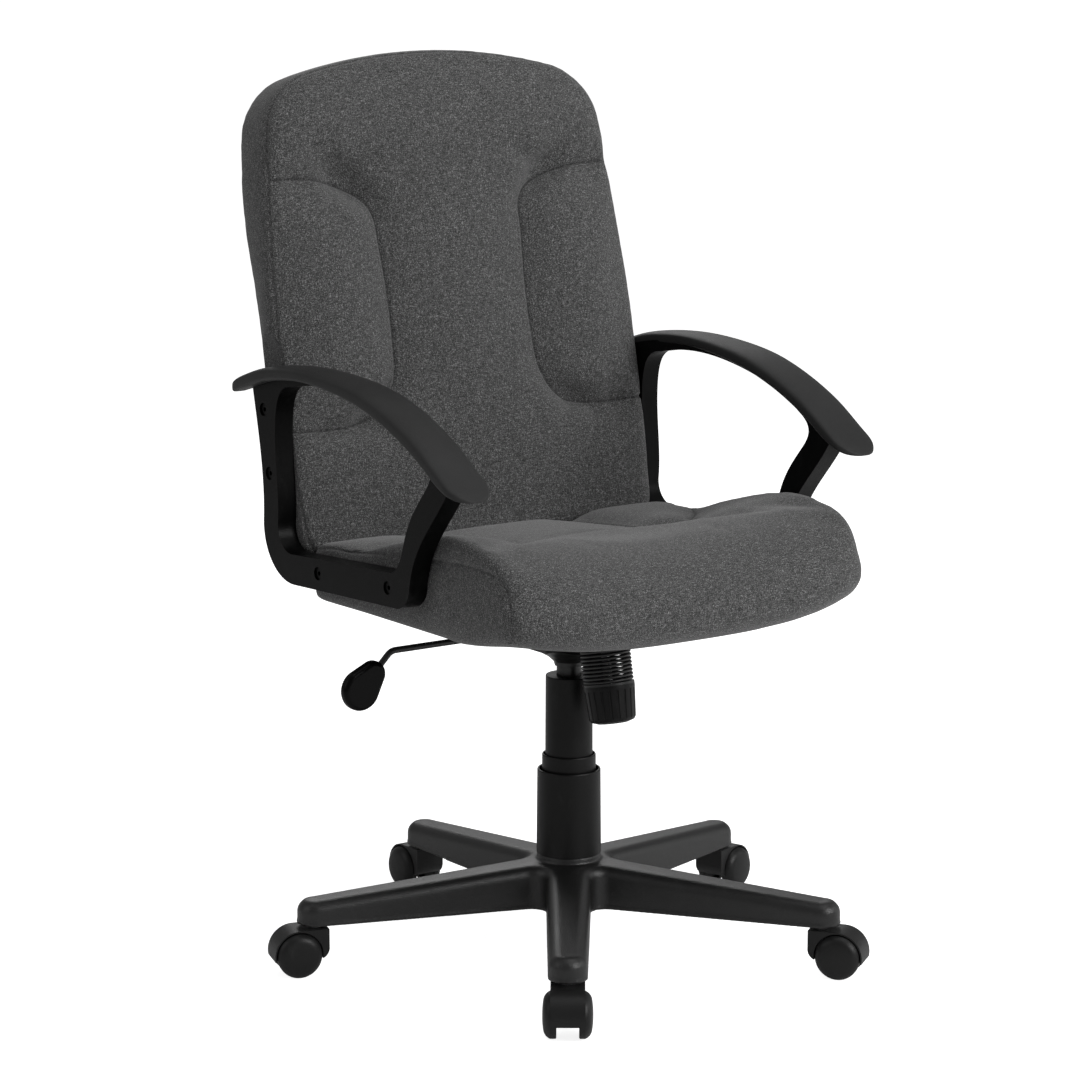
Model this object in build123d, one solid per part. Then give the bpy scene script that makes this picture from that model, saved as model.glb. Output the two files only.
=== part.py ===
from build123d import *
# Swivel office chair with a five-leg base, gas lift, tilt mechanism, loop arms and padded seat and back.
#
# Row frame: millimetres, +Z up, the chair faces -Y, the sitter's right hand is at -X.
# The origin is on the floor under the swivel axis.
import math
import os

os.makedirs("parts", exist_ok=True)

# ---------------------------------------------------------------- driving dimensions (mm)
LEG_COUNT = 5
LEG_FIRST_DEG = 90.0          # one leg points straight back
STEM_CIRCLE_R = 293.0         # swivel axes of the casters
LEG_TIP_HALF = 20.5
LEG_ROOT_HALF = 25.0
LEG_BOTTOM_Z = 57.0
LEG_TIP_TOP_Z = 84.0
LEG_ROOT_TOP_Z = 106.5
LEG_WALL = 3.5
LEG_EDGE_R = 13.0
TIP_BOSS_R = 14.0             # round boss over each caster stem
TIP_BOSS_RISE = 2.5
HUB_R = 36.0
HUB_BOTTOM_Z = 50.0
HUB_TOP_Z = 114.0
HUB_WEB_R = 17.0

WHEEL_R = 25.0
CASTER_TRAIL = 22.5           # wheel axle outside the stem axis
CASTER_WIDTH = 53.5
HOOD_WIDTH = 36.5
HOOD_R = 28.0
HOOD_WEB_HALF = 11.2
HOOD_FRONT = -11.0            # flat face on the stem side
HOOD_LOWEST_Z = 19.5
STEM_R = 5.5
CASTER_AXLE_R = 3.0
RUNNING_FIT = 0.05            # radial play where one piece turns or slides in another

TUBE_R = 25.0                 # outer tube of the gas lift
TUBE_WALL = 2.0
TUBE_BOTTOM_Z = 44.0
TUBE_TOP_Z = 296.0
CYLINDER_R = 14.0
CYLINDER_BOTTOM_Z = 76.0
CYLINDER_TOP_Z = 364.0
ROD_R = 5.0
LIFT_STROKE = 100.0

COVER_LOWER_R = 35.9
COVER_LOWER_TOP_Z = 210.0
COVER_MIDDLE_R = 30.3
COVER_MIDDLE_BOTTOM_Z = 150.0
COVER_MIDDLE_TOP_Z = 227.0
COVER_UPPER_R = 26.9
COVER_UPPER_BOTTOM_Z = 169.0
COVER_UPPER_TOP_Z = 317.0

PIVOT_Y = -18.0               # tilt axle
PIVOT_Z = 378.0
TRAY_HALF = 58.0
TRAY_FLOOR_Z = 354.0
TRAY_FRONT_Y = -36.0
TRAY_REAR_Y = 66.0
SHEET = 2.5
PLATE_Z = 399.0
PLATE_THICK = 3.0
SPRING_LEAN_DEG = 11.0        # the tension bolt leans back towards its top
KNOB_FOOT_Y = -82.76
KNOB_FOOT_Z = 277.07
KNOB_TOP_R = 28.5
KNOB_BOTTOM_R = 26.0
KNOB_HEIGHT = 43.0
KNOB_FLUTES = 20
SPRING_R = 28.2
SPRING_WIRE_R = 1.55
SPRING_PITCH = 4.3
SPRING_TURNS = 8
BOLT_R = 5.0

LEVER_Z = 374.0
LEVER_ROD_R = 3.5
LEVER_BEND_X = -236.0

BOARD_Z = PLATE_Z + PLATE_THICK
BOARD_THICK = 10.0
BOARD_HALF = 212.0
BOARD_FRONT_Y = -165.0
BOARD_REAR_Y = 145.0
BOARD_CORNER_R = 40.0
RAIL_INNER = 190.0
RAIL_HEIGHT = 50.0
PLATE_BOLTS = [(x, y) for x in (-66.0, 66.0) for y in (-84.0, 70.0)]
SEAT_HALF = 239.0
SEAT_REAR_Y = 160.0
SEAT_BOTTOM_Z = 400.5
SEAT_EDGE_R = 22.0
SEAT_CORNERS = [              # side view: (y, z) of each corner and the radius that rounds it
    ((160.0, 400.5), 8.0), ((160.0, 464.0), 18.0), ((10.0, 480.0), 250.0),
    ((-130.0, 500.0), 260.0), ((-245.0, 496.0), 56.0), ((-253.0, 400.5), 34.0),
]

RECLINE_DEG = 12.1
BACK_BASE_Y = 163.0           # front face of the back at the height below
BACK_BASE_Z = 476.0
BACK_THICK = 72.0
BACK_LOW = -28.0              # along the back, from the base height
BACK_HIGH = 533.0
BACK_TOP_R = 56.0
BACK_FOOT_R = 20.0

ARM_INNER = 241.0
ARM_OUTER = 264.0
PAD_CENTRE = 257.5
PAD_HALF = 27.0
ARM_GAP = 0.4                 # between the padding and the arms that press beside it
PAD_CLEAR_Z = 672.0           # the padding stands wider again above the arms
BOLT_HEAD_R = 7.0
BOLT_SHANK_R = 4.0
SEAT_BOLTS = [(102.0, 445.0), (-37.0, 452.0)]
BACK_BOLTS = [(201.0, 542.0), (212.0, 612.0)]


# ---------------------------------------------------------------- helpers
def save(shape, name):
    """Write one sub-part."""
    export_step(shape, f"parts/{name}.step")


def cyl(radius, low, high, x=0.0, y=0.0):
    """Upright cylinder between two heights."""
    return Pos(x, y, low) * Cylinder(radius, high - low, align=(Align.CENTER, Align.CENTER, Align.MIN))


def tube(outer, inner, low, high):
    """Upright tube between two heights."""
    return cyl(outer, low, high) - cyl(inner, low - 1, high + 1)


def block(low, high):
    """Box from its two corners."""
    size = [b - a for a, b in zip(low, high)]
    middle = [(a + b) / 2 for a, b in zip(low, high)]
    return Pos(*middle) * Box(*size)


def x_cylinder(radius, x_low, x_high, y, z):
    """Cylinder lying along X."""
    lying = Cylinder(radius, x_high - x_low, align=(Align.CENTER, Align.CENTER, Align.MIN))
    return Pos(x_low, y, z) * Rot(0, 90, 0) * lying


def turned(points):
    """Solid of revolution about Z from (radius, height) points."""
    profile = make_face(Polyline([(r, 0, z) for r, z in points], close=True))
    return revolve(profile, Axis.Z)


def side_profile(lines, x_low, x_high):
    """Solid between two X planes whose outline is drawn in the YZ plane."""
    return Pos(x_low, 0, 0) * extrude(make_face(lines), x_high - x_low, dir=(1, 0, 0))


def at_leg(index, shape):
    """Carry a shape built along +X from the axis round to one leg."""
    return Rot(0, 0, LEG_FIRST_DEG + index * 360.0 / LEG_COUNT) * shape


def on_bolt_axis(distance):
    """Placement at a distance up the leaning tension bolt."""
    return Pos(0, KNOB_FOOT_Y, KNOB_FOOT_Z) * Rot(-SPRING_LEAN_DEG, 0, 0) * Pos(0, 0, distance)


def on_back(across, along, depth):
    """A point of the back: across the chair, up the recline, and behind the front plane."""
    lean = math.radians(RECLINE_DEG)
    y = BACK_BASE_Y + along * math.sin(lean) + depth * math.cos(lean)
    z = BACK_BASE_Z + along * math.cos(lean) - depth * math.sin(lean)
    return (across, y, z)


RECLINE = math.radians(RECLINE_DEG)
BACK_PLANE = Plane(origin=on_back(0, 0, 0), x_dir=(1, 0, 0), z_dir=(0, -math.cos(RECLINE), math.sin(RECLINE)))


# ---------------------------------------------------------------- five-leg base
def leg_outline(tip_half, root_half, start_r, end_r):
    """Plan of one leg along +X."""
    corners = [(start_r, -root_half), (end_r, -tip_half), (end_r, tip_half), (start_r, root_half)]
    return make_face(Polyline(corners, close=True))


def leg_top_z(radius, drop=0.0):
    """Height of the leg's ridge at a radius."""
    share = (radius - HUB_R) / (STEM_CIRCLE_R - HUB_R)
    return LEG_ROOT_TOP_Z + share * (LEG_TIP_TOP_Z - LEG_ROOT_TOP_Z) - drop


def under_ridge(drop):
    """Everything below the cone that holds the ridges of the legs."""
    far = STEM_CIRCLE_R + 40
    return turned([(0, 0), (far, 0), (far, leg_top_z(far, drop)), (HUB_R, leg_top_z(HUB_R, drop)),
                   (0, leg_top_z(HUB_R, drop))])


def base_star():
    """Hollow-legged star with a tapered-tube socket in the hub and a stem socket in each tip."""
    plan = Circle(HUB_R)
    for index in range(LEG_COUNT):
        leg = leg_outline(LEG_TIP_HALF, LEG_ROOT_HALF, 0, STEM_CIRCLE_R)
        plan += at_leg(index, leg + Pos(STEM_CIRCLE_R, 0) * Circle(LEG_TIP_HALF))
    reach = LEG_ROOT_HALF / math.sin(math.pi / LEG_COUNT)
    inner = [v for v in plan.vertices() if HUB_R < math.hypot(v.X, v.Y) < reach + 5]
    plan = fillet(inner, HUB_WEB_R)
    body = Pos(0, 0, LEG_BOTTOM_Z) * extrude(plan, HUB_TOP_Z) & under_ridge(0)
    ridge = [e for e in body.edges() if e.center().Z > LEG_TIP_TOP_Z - 2 and
             math.hypot(e.center().X, e.center().Y) > HUB_R]
    body = fillet(ridge, LEG_EDGE_R)
    lip = Pos(0, 0, LEG_BOTTOM_Z) * extrude(offset(plan, 0.8), 3.0)
    body += lip
    boss = cyl(TIP_BOSS_R, LEG_BOTTOM_Z, LEG_TIP_TOP_Z + TIP_BOSS_RISE, x=STEM_CIRCLE_R)
    boss = fillet(boss.edges().sort_by(Axis.Z)[-1], 5)
    for index in range(LEG_COUNT):
        body += at_leg(index, boss)
    body += cyl(HUB_R, HUB_BOTTOM_Z, HUB_TOP_Z)
    pocket_start = HUB_R + 8
    pocket_end = STEM_CIRCLE_R - 17
    share = pocket_start / STEM_CIRCLE_R
    root = LEG_ROOT_HALF + share * (LEG_TIP_HALF - LEG_ROOT_HALF) - LEG_WALL
    pocket = Pos(0, 0, LEG_BOTTOM_Z - 1) * extrude(
        leg_outline(LEG_TIP_HALF - LEG_WALL, root, pocket_start, pocket_end), HUB_TOP_Z)
    pocket &= under_ridge(LEG_EDGE_R * 0.3 + LEG_WALL)
    rib_radii = [pocket_start + (pocket_end - pocket_start) * k / 4 for k in (1, 2, 3)]
    for radius in rib_radii:
        pocket -= block((radius - 1.25, -30, LEG_BOTTOM_Z + 4), (radius + 1.25, 30, HUB_TOP_Z))
    socket = cyl(STEM_R + 2, LEG_BOTTOM_Z - 1, LEG_TIP_TOP_Z - 5, x=STEM_CIRCLE_R)
    for index in range(LEG_COUNT):
        body -= at_leg(index, pocket)
        body -= at_leg(index, socket)
    body -= cyl(TUBE_R, 0, HUB_TOP_Z + 1)
    return body


def caster_sockets():
    """Five identical liner sleeves pressed into the leg tips."""
    sleeve = tube(STEM_R + 2, STEM_R + RUNNING_FIT, LEG_BOTTOM_Z, LEG_TIP_TOP_Z - 5)
    return Compound([at_leg(i, Pos(STEM_CIRCLE_R, 0, 0) * sleeve) for i in range(LEG_COUNT)])


# ---------------------------------------------------------------- casters, built along +X from the stem axis
def caster_hood():
    """Body between and over the two wheels, with a flat face on the stem side."""
    axle = (CASTER_TRAIL, WHEEL_R)
    low_angle = math.asin((HOOD_LOWEST_Z - WHEEL_R) / HOOD_R)
    outer_low = (axle[0] + HOOD_R * math.cos(low_angle), HOOD_LOWEST_Z)
    crown = (axle[0], WHEEL_R + HOOD_R)
    far_side = (axle[0] + HOOD_R * math.cos(0.6), WHEEL_R + HOOD_R * math.sin(0.6))
    with BuildPart() as hood:
        with BuildSketch(Plane.XZ) as _:
            with BuildLine() as _:
                ThreePointArc(crown, far_side, outer_low)
                Line(outer_low, (HOOD_FRONT + 10, HOOD_LOWEST_Z))
                ThreePointArc((HOOD_FRONT + 10, HOOD_LOWEST_Z), (HOOD_FRONT + 2.4, HOOD_LOWEST_Z + 5),
                              (HOOD_FRONT, HOOD_LOWEST_Z + 14))
                Line((HOOD_FRONT, HOOD_LOWEST_Z + 14), (HOOD_FRONT, crown[1]))
                Line((HOOD_FRONT, crown[1]), crown)
            make_face()
        extrude(amount=HOOD_WIDTH / 2, both=True)
    body = hood.part
    recess_r = WHEEL_R + 1.4
    for side in (-1, 1):
        recess = Pos(CASTER_TRAIL, side * HOOD_WEB_HALF, WHEEL_R) * Rot(-90 * side, 0, 0)
        body -= recess * Cylinder(recess_r, 20, align=(Align.CENTER, Align.CENTER, Align.MIN))
    body -= Pos(CASTER_TRAIL, 0, WHEEL_R) * Rot(90, 0, 0) * Cylinder(CASTER_AXLE_R, HOOD_WIDTH)
    body -= cyl(STEM_R, WHEEL_R + 12, crown[1] + 1)
    return body


def caster_stem():
    """Steel stem with a flange on the hood and a snap groove near its head."""
    hood_top = WHEEL_R + HOOD_R
    stem = cyl(STEM_R, WHEEL_R + 12, LEG_TIP_TOP_Z - 6) + cyl(STEM_R + 3, hood_top, LEG_BOTTOM_Z - 0.4)
    groove = tube(STEM_R + 1, STEM_R - 1, LEG_TIP_TOP_Z - 13, LEG_TIP_TOP_Z - 11)
    return stem - groove


def caster_axle():
    """Pin through the hood's web into both wheels."""
    return Pos(CASTER_TRAIL, 0, WHEEL_R) * Rot(90, 0, 0) * Cylinder(CASTER_AXLE_R, CASTER_WIDTH - 12)


def caster_wheel(side):
    """Wheel with a domed outer face, running on the axle."""
    inner = HOOD_WEB_HALF + 0.7
    outer = CASTER_WIDTH / 2
    with BuildPart() as wheel:
        with BuildSketch(Plane.XZ) as _:
            with BuildLine() as _:
                Line((0, inner), (WHEEL_R - 1, inner))
                Line((WHEEL_R - 1, inner), (WHEEL_R, inner + 1))
                Line((WHEEL_R, inner + 1), (WHEEL_R, inner + 6.5))
                ThreePointArc((WHEEL_R, inner + 6.5), (WHEEL_R - 3.0, outer - 4.0), (WHEEL_R - 9, outer - 1.2))
                ThreePointArc((WHEEL_R - 9, outer - 1.2), (WHEEL_R - 16, outer - 0.3), (2, outer))
                Line((2, outer), (0, outer))
                Line((0, outer), (0, inner))
            make_face()
        revolve(axis=Axis.Z)
    body = wheel.part
    body -= cyl(CASTER_AXLE_R + RUNNING_FIT, inner - 1, outer - 5.5)
    body -= tube(WHEEL_R - 5, 8, inner - 1, inner + 5)
    return Pos(CASTER_TRAIL, 0, WHEEL_R) * Rot(-90 * side, 0, 0) * body


# ---------------------------------------------------------------- gas lift and telescopic cover
def cover(radius_low, radius_high, wall, low, high):
    """Slightly tapered sleeve with a softened upper rim."""
    soft = 1.0
    return turned([(radius_low - wall, low), (radius_low, low), (radius_high, high - soft),
                   (radius_high - soft / 2, high), (radius_high - wall, high)])


def column_cover_lower():
    """Widest sleeve, standing on the hub."""
    return cover(COVER_LOWER_R + 0.4, COVER_LOWER_R - 0.4, 2.2, HUB_TOP_Z, COVER_LOWER_TOP_Z)


def column_cover_middle():
    """Sleeve that rises half as far as the seat."""
    return cover(COVER_MIDDLE_R + 0.3, COVER_MIDDLE_R - 0.2, 1.6, COVER_MIDDLE_BOTTOM_Z, COVER_MIDDLE_TOP_Z)


def column_cover_upper():
    """Narrowest sleeve, with a lip at its top round the gas cylinder."""
    low = COVER_UPPER_BOTTOM_Z
    high = COVER_UPPER_TOP_Z
    bore = TUBE_R + 0.35
    lip = 4.0
    return turned([(bore, low), (COVER_UPPER_R, low), (COVER_UPPER_R - 0.7, high - 1), (COVER_UPPER_R - 1.2, high),
                   (CYLINDER_R + 0.4, high), (CYLINDER_R + 0.4, high - lip), (bore, high - lip)])


def gas_lift_outer_tube():
    """Steel tube standing in the hub, with a floor that holds the piston rod."""
    body = tube(TUBE_R, TUBE_R - TUBE_WALL, TUBE_BOTTOM_Z, TUBE_TOP_Z)
    floor = tube(TUBE_R - TUBE_WALL, ROD_R + 0.3, TUBE_BOTTOM_Z, TUBE_BOTTOM_Z + 4)
    return body + floor


def gas_lift_guide_bush():
    """Plastic bush that guides the cylinder in the outer tube."""
    rim = tube(TUBE_R - 0.2, CYLINDER_R + RUNNING_FIT, TUBE_TOP_Z, TUBE_TOP_Z + 2)
    return tube(TUBE_R - TUBE_WALL, CYLINDER_R + RUNNING_FIT, TUBE_TOP_Z - 66, TUBE_TOP_Z) + rim


def gas_lift_thrust_bearing():
    """Ring that carries the piston rod's shoulder on the tube floor."""
    return tube(16, ROD_R + RUNNING_FIT, TUBE_BOTTOM_Z + 4, TUBE_BOTTOM_Z + 12)


def gas_lift_piston_rod():
    """Rod with a shoulder at its foot and the piston at its head."""
    shoulder = cyl(12, TUBE_BOTTOM_Z + 12.1, TUBE_BOTTOM_Z + 16)
    piston = cyl(11.7, CYLINDER_BOTTOM_Z + LIFT_STROKE + 14, CYLINDER_BOTTOM_Z + LIFT_STROKE + 24)
    return cyl(ROD_R, TUBE_BOTTOM_Z - 8, CYLINDER_BOTTOM_Z + LIFT_STROKE + 14) + shoulder + piston


def gas_lift_retaining_clip():
    """Spring clip under the tube floor."""
    ring = tube(9.5, ROD_R, TUBE_BOTTOM_Z - 3, TUBE_BOTTOM_Z - 0.4)
    return ring - block((-2, 0, 0), (2, 20, TUBE_BOTTOM_Z))


def gas_lift_cylinder():
    """Pressure cylinder: slides in the bush, its top is held in the mechanism."""
    floor = 8.0
    cavity = cyl(CYLINDER_R - 2, CYLINDER_BOTTOM_Z + floor, CYLINDER_TOP_Z - 14)
    rod_hole = cyl(ROD_R + RUNNING_FIT, CYLINDER_BOTTOM_Z - 1, CYLINDER_BOTTOM_Z + floor + 1)
    button_hole = cyl(2.5 + RUNNING_FIT, CYLINDER_TOP_Z - 10, CYLINDER_TOP_Z + 1)
    return cyl(CYLINDER_R, CYLINDER_BOTTOM_Z, CYLINDER_TOP_Z) - cavity - rod_hole - button_hole


def gas_lift_release_button():
    """Pin that opens the gas valve when the lever presses it."""
    return cyl(2.5, CYLINDER_TOP_Z - 5, LEVER_Z - LEVER_ROD_R - 0.3)


# ---------------------------------------------------------------- tilt mechanism
def mechanism_housing():
    """Pressed tray: a funnel round the cylinder, side walls for the axle, a sloping spring seat in front."""
    funnel_low = 328.0
    funnel = turned([(CYLINDER_R, funnel_low), (CYLINDER_R + 2, funnel_low), (CYLINDER_R + 3.5, funnel_low + 5),
                     (24, 339), (38, 347), (TRAY_HALF - 4, TRAY_FLOOR_Z), (TRAY_HALF - 4, TRAY_FLOOR_Z + SHEET),
                     (CYLINDER_R + 8, TRAY_FLOOR_Z - 3), (CYLINDER_R + 4, TRAY_FLOOR_Z + 8), (CYLINDER_R, TRAY_FLOOR_Z + 8)])
    funnel -= block((-100, -100, 0), (100, TRAY_FRONT_Y, 500))
    floor = block((-TRAY_HALF, TRAY_FRONT_Y, TRAY_FLOOR_Z), (TRAY_HALF, TRAY_REAR_Y, TRAY_FLOOR_Z + SHEET))
    floor -= cyl(TRAY_HALF - 5, 0, 500)
    wall_lines = Polyline([(0, TRAY_FRONT_Y, TRAY_FLOOR_Z), (0, TRAY_REAR_Y, TRAY_FLOOR_Z), (0, TRAY_REAR_Y, 373),
                           (0, 20, 381), (0, PIVOT_Y, PIVOT_Z + 10), (0, TRAY_FRONT_Y, 387)], close=True)
    body = funnel + floor
    for side in (-1, 1):
        low = min(side * TRAY_HALF, side * (TRAY_HALF - SHEET))
        body += side_profile(wall_lines, low, low + SHEET)
    body += block((-TRAY_HALF, TRAY_REAR_Y - SHEET, TRAY_FLOOR_Z), (TRAY_HALF, TRAY_REAR_Y, 373))
    body += spring_seat()
    body -= x_cylinder(BOLT_R, -100, 100, PIVOT_Y, PIVOT_Z)
    body -= x_cylinder(6.6, -TRAY_HALF - 5, -TRAY_HALF + 10, 0, LEVER_Z)
    return body


def spring_seat():
    """Sloping front floor that the spring bears on, joined to the tray by two cheeks."""
    seat_at = spring_top() + 0.1
    half = 31.0
    plate = on_bolt_axis(seat_at) * block((-half, -half, 0), (half, half, 3.0))
    slot = on_bolt_axis(seat_at) * block((-6.5, -16, -5), (6.5, 9, 20))
    cheek_lines = Polyline([(0, TRAY_FRONT_Y, TRAY_FLOOR_Z), (0, TRAY_FRONT_Y, 385), (0, -90, 375), (0, -96, 367)],
                           close=True)
    body = plate
    for x in (-half, half - SHEET):
        body += side_profile(cheek_lines, x, x + SHEET)
    for side in (-1, 1):
        low = min(side * (half - SHEET), side * TRAY_HALF)
        width = TRAY_HALF - half + SHEET
        body += block((low, TRAY_FRONT_Y, TRAY_FLOOR_Z), (low + width, TRAY_FRONT_Y + SHEET, 385))
    return body - slot


def spring_foot():
    """Distance up the bolt at which the spring starts, on the washer."""
    return KNOB_HEIGHT + 2.7


def spring_top():
    """Distance up the bolt at which the spring ends."""
    return spring_foot() + SPRING_TURNS * SPRING_PITCH + 2 * SPRING_WIRE_R


def tension_spring():
    """Compression coil round the tension bolt."""
    path = Helix(pitch=SPRING_PITCH, height=SPRING_TURNS * SPRING_PITCH, radius=SPRING_R - SPRING_WIRE_R)
    start = Plane(origin=path @ 0, z_dir=path % 0)
    coil = sweep(start * Circle(SPRING_WIRE_R), path=path, is_frenet=True)
    return on_bolt_axis(spring_foot() + SPRING_WIRE_R) * coil


def tension_washer():
    """Cup washer between the spring and the knob."""
    low = KNOB_HEIGHT + 0.1
    disc = tube(KNOB_TOP_R, BOLT_R + RUNNING_FIT, low, low + 2.4)
    return on_bolt_axis(0) * disc


def tension_knob():
    """Fluted hand knob with a domed foot."""
    body = turned([(0, 0), (KNOB_BOTTOM_R - 9, 0.8), (KNOB_BOTTOM_R - 2, 3.2), (KNOB_BOTTOM_R, 6.5),
                   (KNOB_TOP_R, KNOB_HEIGHT - 3), (KNOB_TOP_R, KNOB_HEIGHT), (0, KNOB_HEIGHT)])
    lean = math.degrees(math.atan2(KNOB_TOP_R - KNOB_BOTTOM_R, KNOB_HEIGHT))
    flute = Pos(KNOB_BOTTOM_R + 0.5, 0, 5) * Rot(0, lean, 0) * Pos(0, 0, KNOB_HEIGHT / 2 - 5.5) * Cylinder(1.3, KNOB_HEIGHT - 9)
    for index in range(KNOB_FLUTES):
        body -= Rot(0, 0, index * 360.0 / KNOB_FLUTES) * flute
    body -= cyl(BOLT_R + RUNNING_FIT, 12, KNOB_HEIGHT + 1)
    return on_bolt_axis(0) * body


def bolt_head_at():
    """Distance up the bolt of the underside of its head, on the seat plate."""
    return (BOARD_Z - KNOB_FOOT_Z) / math.cos(math.radians(SPRING_LEAN_DEG)) + 1.8


def tension_bolt():
    """Bolt from the seat plate through the spring into the knob."""
    head_at = bolt_head_at()
    return on_bolt_axis(0) * (cyl(BOLT_R, 18, head_at) + cyl(8.5, head_at, head_at + 5))


def seat_plate():
    """Plate under the seat board, hung on the axle by two flanges."""
    plate = block((-80, -98, PLATE_Z), (80, 84, BOARD_Z))
    plate = fillet(plate.edges().filter_by(Axis.Z), 10)
    ear_lines = Polyline([(0, PIVOT_Y - 13, PLATE_Z), (0, PIVOT_Y + 13, PLATE_Z), (0, PIVOT_Y + 8, PIVOT_Z - 11),
                          (0, PIVOT_Y - 8, PIVOT_Z - 11)], close=True)
    for x in (-49.0, 46.0):
        plate += side_profile(ear_lines, x, x + SHEET)
    plate -= x_cylinder(BOLT_R + RUNNING_FIT, -100, 100, PIVOT_Y, PIVOT_Z)
    plate -= on_bolt_axis(0) * cyl(BOLT_R, 60, 200)
    for x, y in PLATE_BOLTS:
        plate -= cyl(BOLT_SHANK_R, PLATE_Z - 1, BOARD_Z + 1, x, y)
    return plate


def seat_plate_bolts():
    """Four bolts from below through the plate into the seat board."""
    bolts = []
    for x, y in PLATE_BOLTS:
        bolts.append(cyl(BOLT_SHANK_R, PLATE_Z, BOARD_Z + 8, x, y) + cyl(BOLT_HEAD_R, PLATE_Z - 4, PLATE_Z, x, y))
    return Compound(bolts)


def tilt_axle():
    """Pin through the tray walls and the plate's flanges, its ends spread into rivet heads."""
    head = 2.5
    body = x_cylinder(BOLT_R, -TRAY_HALF, TRAY_HALF, PIVOT_Y, PIVOT_Z)
    for x_low in (-TRAY_HALF - head, TRAY_HALF):
        body += x_cylinder(BOLT_R + 3, x_low, x_low + head, PIVOT_Y, PIVOT_Z)
    return body


# ---------------------------------------------------------------- lever
def lever_pivot_bush():
    """Bush in the tray wall: the lever slides through it and rocks with it."""
    bush = x_cylinder(6.2, -TRAY_HALF - 4, -TRAY_HALF + 6, 0, LEVER_Z)
    return bush - x_cylinder(LEVER_ROD_R + RUNNING_FIT, -100, 0, 0, LEVER_Z)


def lever_rod():
    """Bent steel rod from over the release button out to the paddle."""
    path = FilletPolyline([(14, 0, LEVER_Z), (LEVER_BEND_X, 0, LEVER_Z), (LEVER_BEND_X - 30, 0, LEVER_Z - 30)],
                          radius=14)
    start = Plane(origin=path @ 0, z_dir=path % 0)
    return sweep(start * Circle(LEVER_ROD_R), path=path)


def lever_paddle():
    """Egg-shaped paddle moulded on the end of the rod, its narrow end round the rod."""
    broad_r = 22.5
    narrow_r = 15.0
    thick = 14.0
    broad = Pos(-7, 0) * Circle(broad_r)
    narrow = Pos(14.5, 0) * Circle(narrow_r)
    egg = make_hull(broad.edges() + narrow.edges())
    oval = extrude(Plane.XZ * egg, thick / 2, both=True)
    oval = fillet(oval.edges(), 5.5)
    placed = Pos(LEVER_BEND_X - 34.5, 0, LEVER_Z - 33) * Rot(0, -45, 0) * oval
    return placed - lever_rod()


def tilt_lock_plate():
    """Tongue plate in the tray that the lever draws across to lock the tilt."""
    low = TRAY_FLOOR_Z + SHEET + 0.4
    plate = block((-34, 56, low), (20, 61, low + 9)) + block((-34, 44, low), (-26, 61, low + 3))
    return plate


# ---------------------------------------------------------------- seat
def board_blank(low):
    """Round-cornered outline of the board, from a height up to its top."""
    blank = block((-BOARD_HALF, BOARD_FRONT_Y, low), (BOARD_HALF, BOARD_REAR_Y, BOARD_Z + BOARD_THICK))
    return fillet(blank.edges().filter_by(Axis.Z), BOARD_CORNER_R)


def rail_blank(side, low):
    """One rail along the board's side edge, from a height up to its top."""
    x_low = min(side * RAIL_INNER, side * BOARD_HALF)
    top = BOARD_Z + BOARD_THICK + RAIL_HEIGHT
    rail = block((x_low, -110, low), (x_low + BOARD_HALF - RAIL_INNER, 130, top))
    return fillet(rail.edges().filter_by(Axis.Z), 4)


def seat_board():
    """Plywood board that carries the cushion."""
    board = board_blank(BOARD_Z)
    board -= on_bolt_axis(0) * cyl(13, 110, 160)
    for x, y in PLATE_BOLTS:
        board -= cyl(BOLT_SHANK_R, BOARD_Z - 1, BOARD_Z + 8, x, y)
    return board


def seat_side_rails():
    """Two wooden rails on the board that take the arm bolts."""
    low = BOARD_Z + BOARD_THICK
    return Compound([rail_blank(side, low) - seat_bolt_shanks() for side in (-1, 1)])


def seat_underside_cover():
    """Thin dust cover under the board, open round the seat plate."""
    margin = 7.0
    half = BOARD_HALF - margin
    sheet = block((-half, BOARD_FRONT_Y + margin, BOARD_Z - 1.5), (half, BOARD_REAR_Y - margin, BOARD_Z))
    sheet = fillet(sheet.edges().filter_by(Axis.Z), BOARD_CORNER_R - 4)
    return sheet - block((-83, -101, 0), (83, 87, 500))


def seat_cushion_body():
    """Crowned cushion with a waterfall front."""
    side = make_face(Polyline([(0, y, z) for (y, z), radius in SEAT_CORNERS], close=True))
    for (y, z), radius in SEAT_CORNERS:
        corner = min(side.vertices(), key=lambda v: math.hypot(v.Y - y, v.Z - z))
        side = fillet(corner, radius)
    body = Pos(-SEAT_HALF, 0, 0) * extrude(side, 2 * SEAT_HALF, dir=(1, 0, 0))
    rims = [e for e in body.edges() if abs(abs(e.center().X) - SEAT_HALF) < 0.1]
    return fillet(rims, SEAT_EDGE_R)


def seat_cushion():
    """Seat cushion with the room its board, rails and bolts take."""
    body = seat_cushion_body()
    body -= board_blank(BOARD_Z - 5)
    for side in (-1, 1):
        body -= rail_blank(side, BOARD_Z)
    return body - seat_bolt_shanks() - on_bolt_axis(0) * cyl(13, 110, 160)


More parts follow.
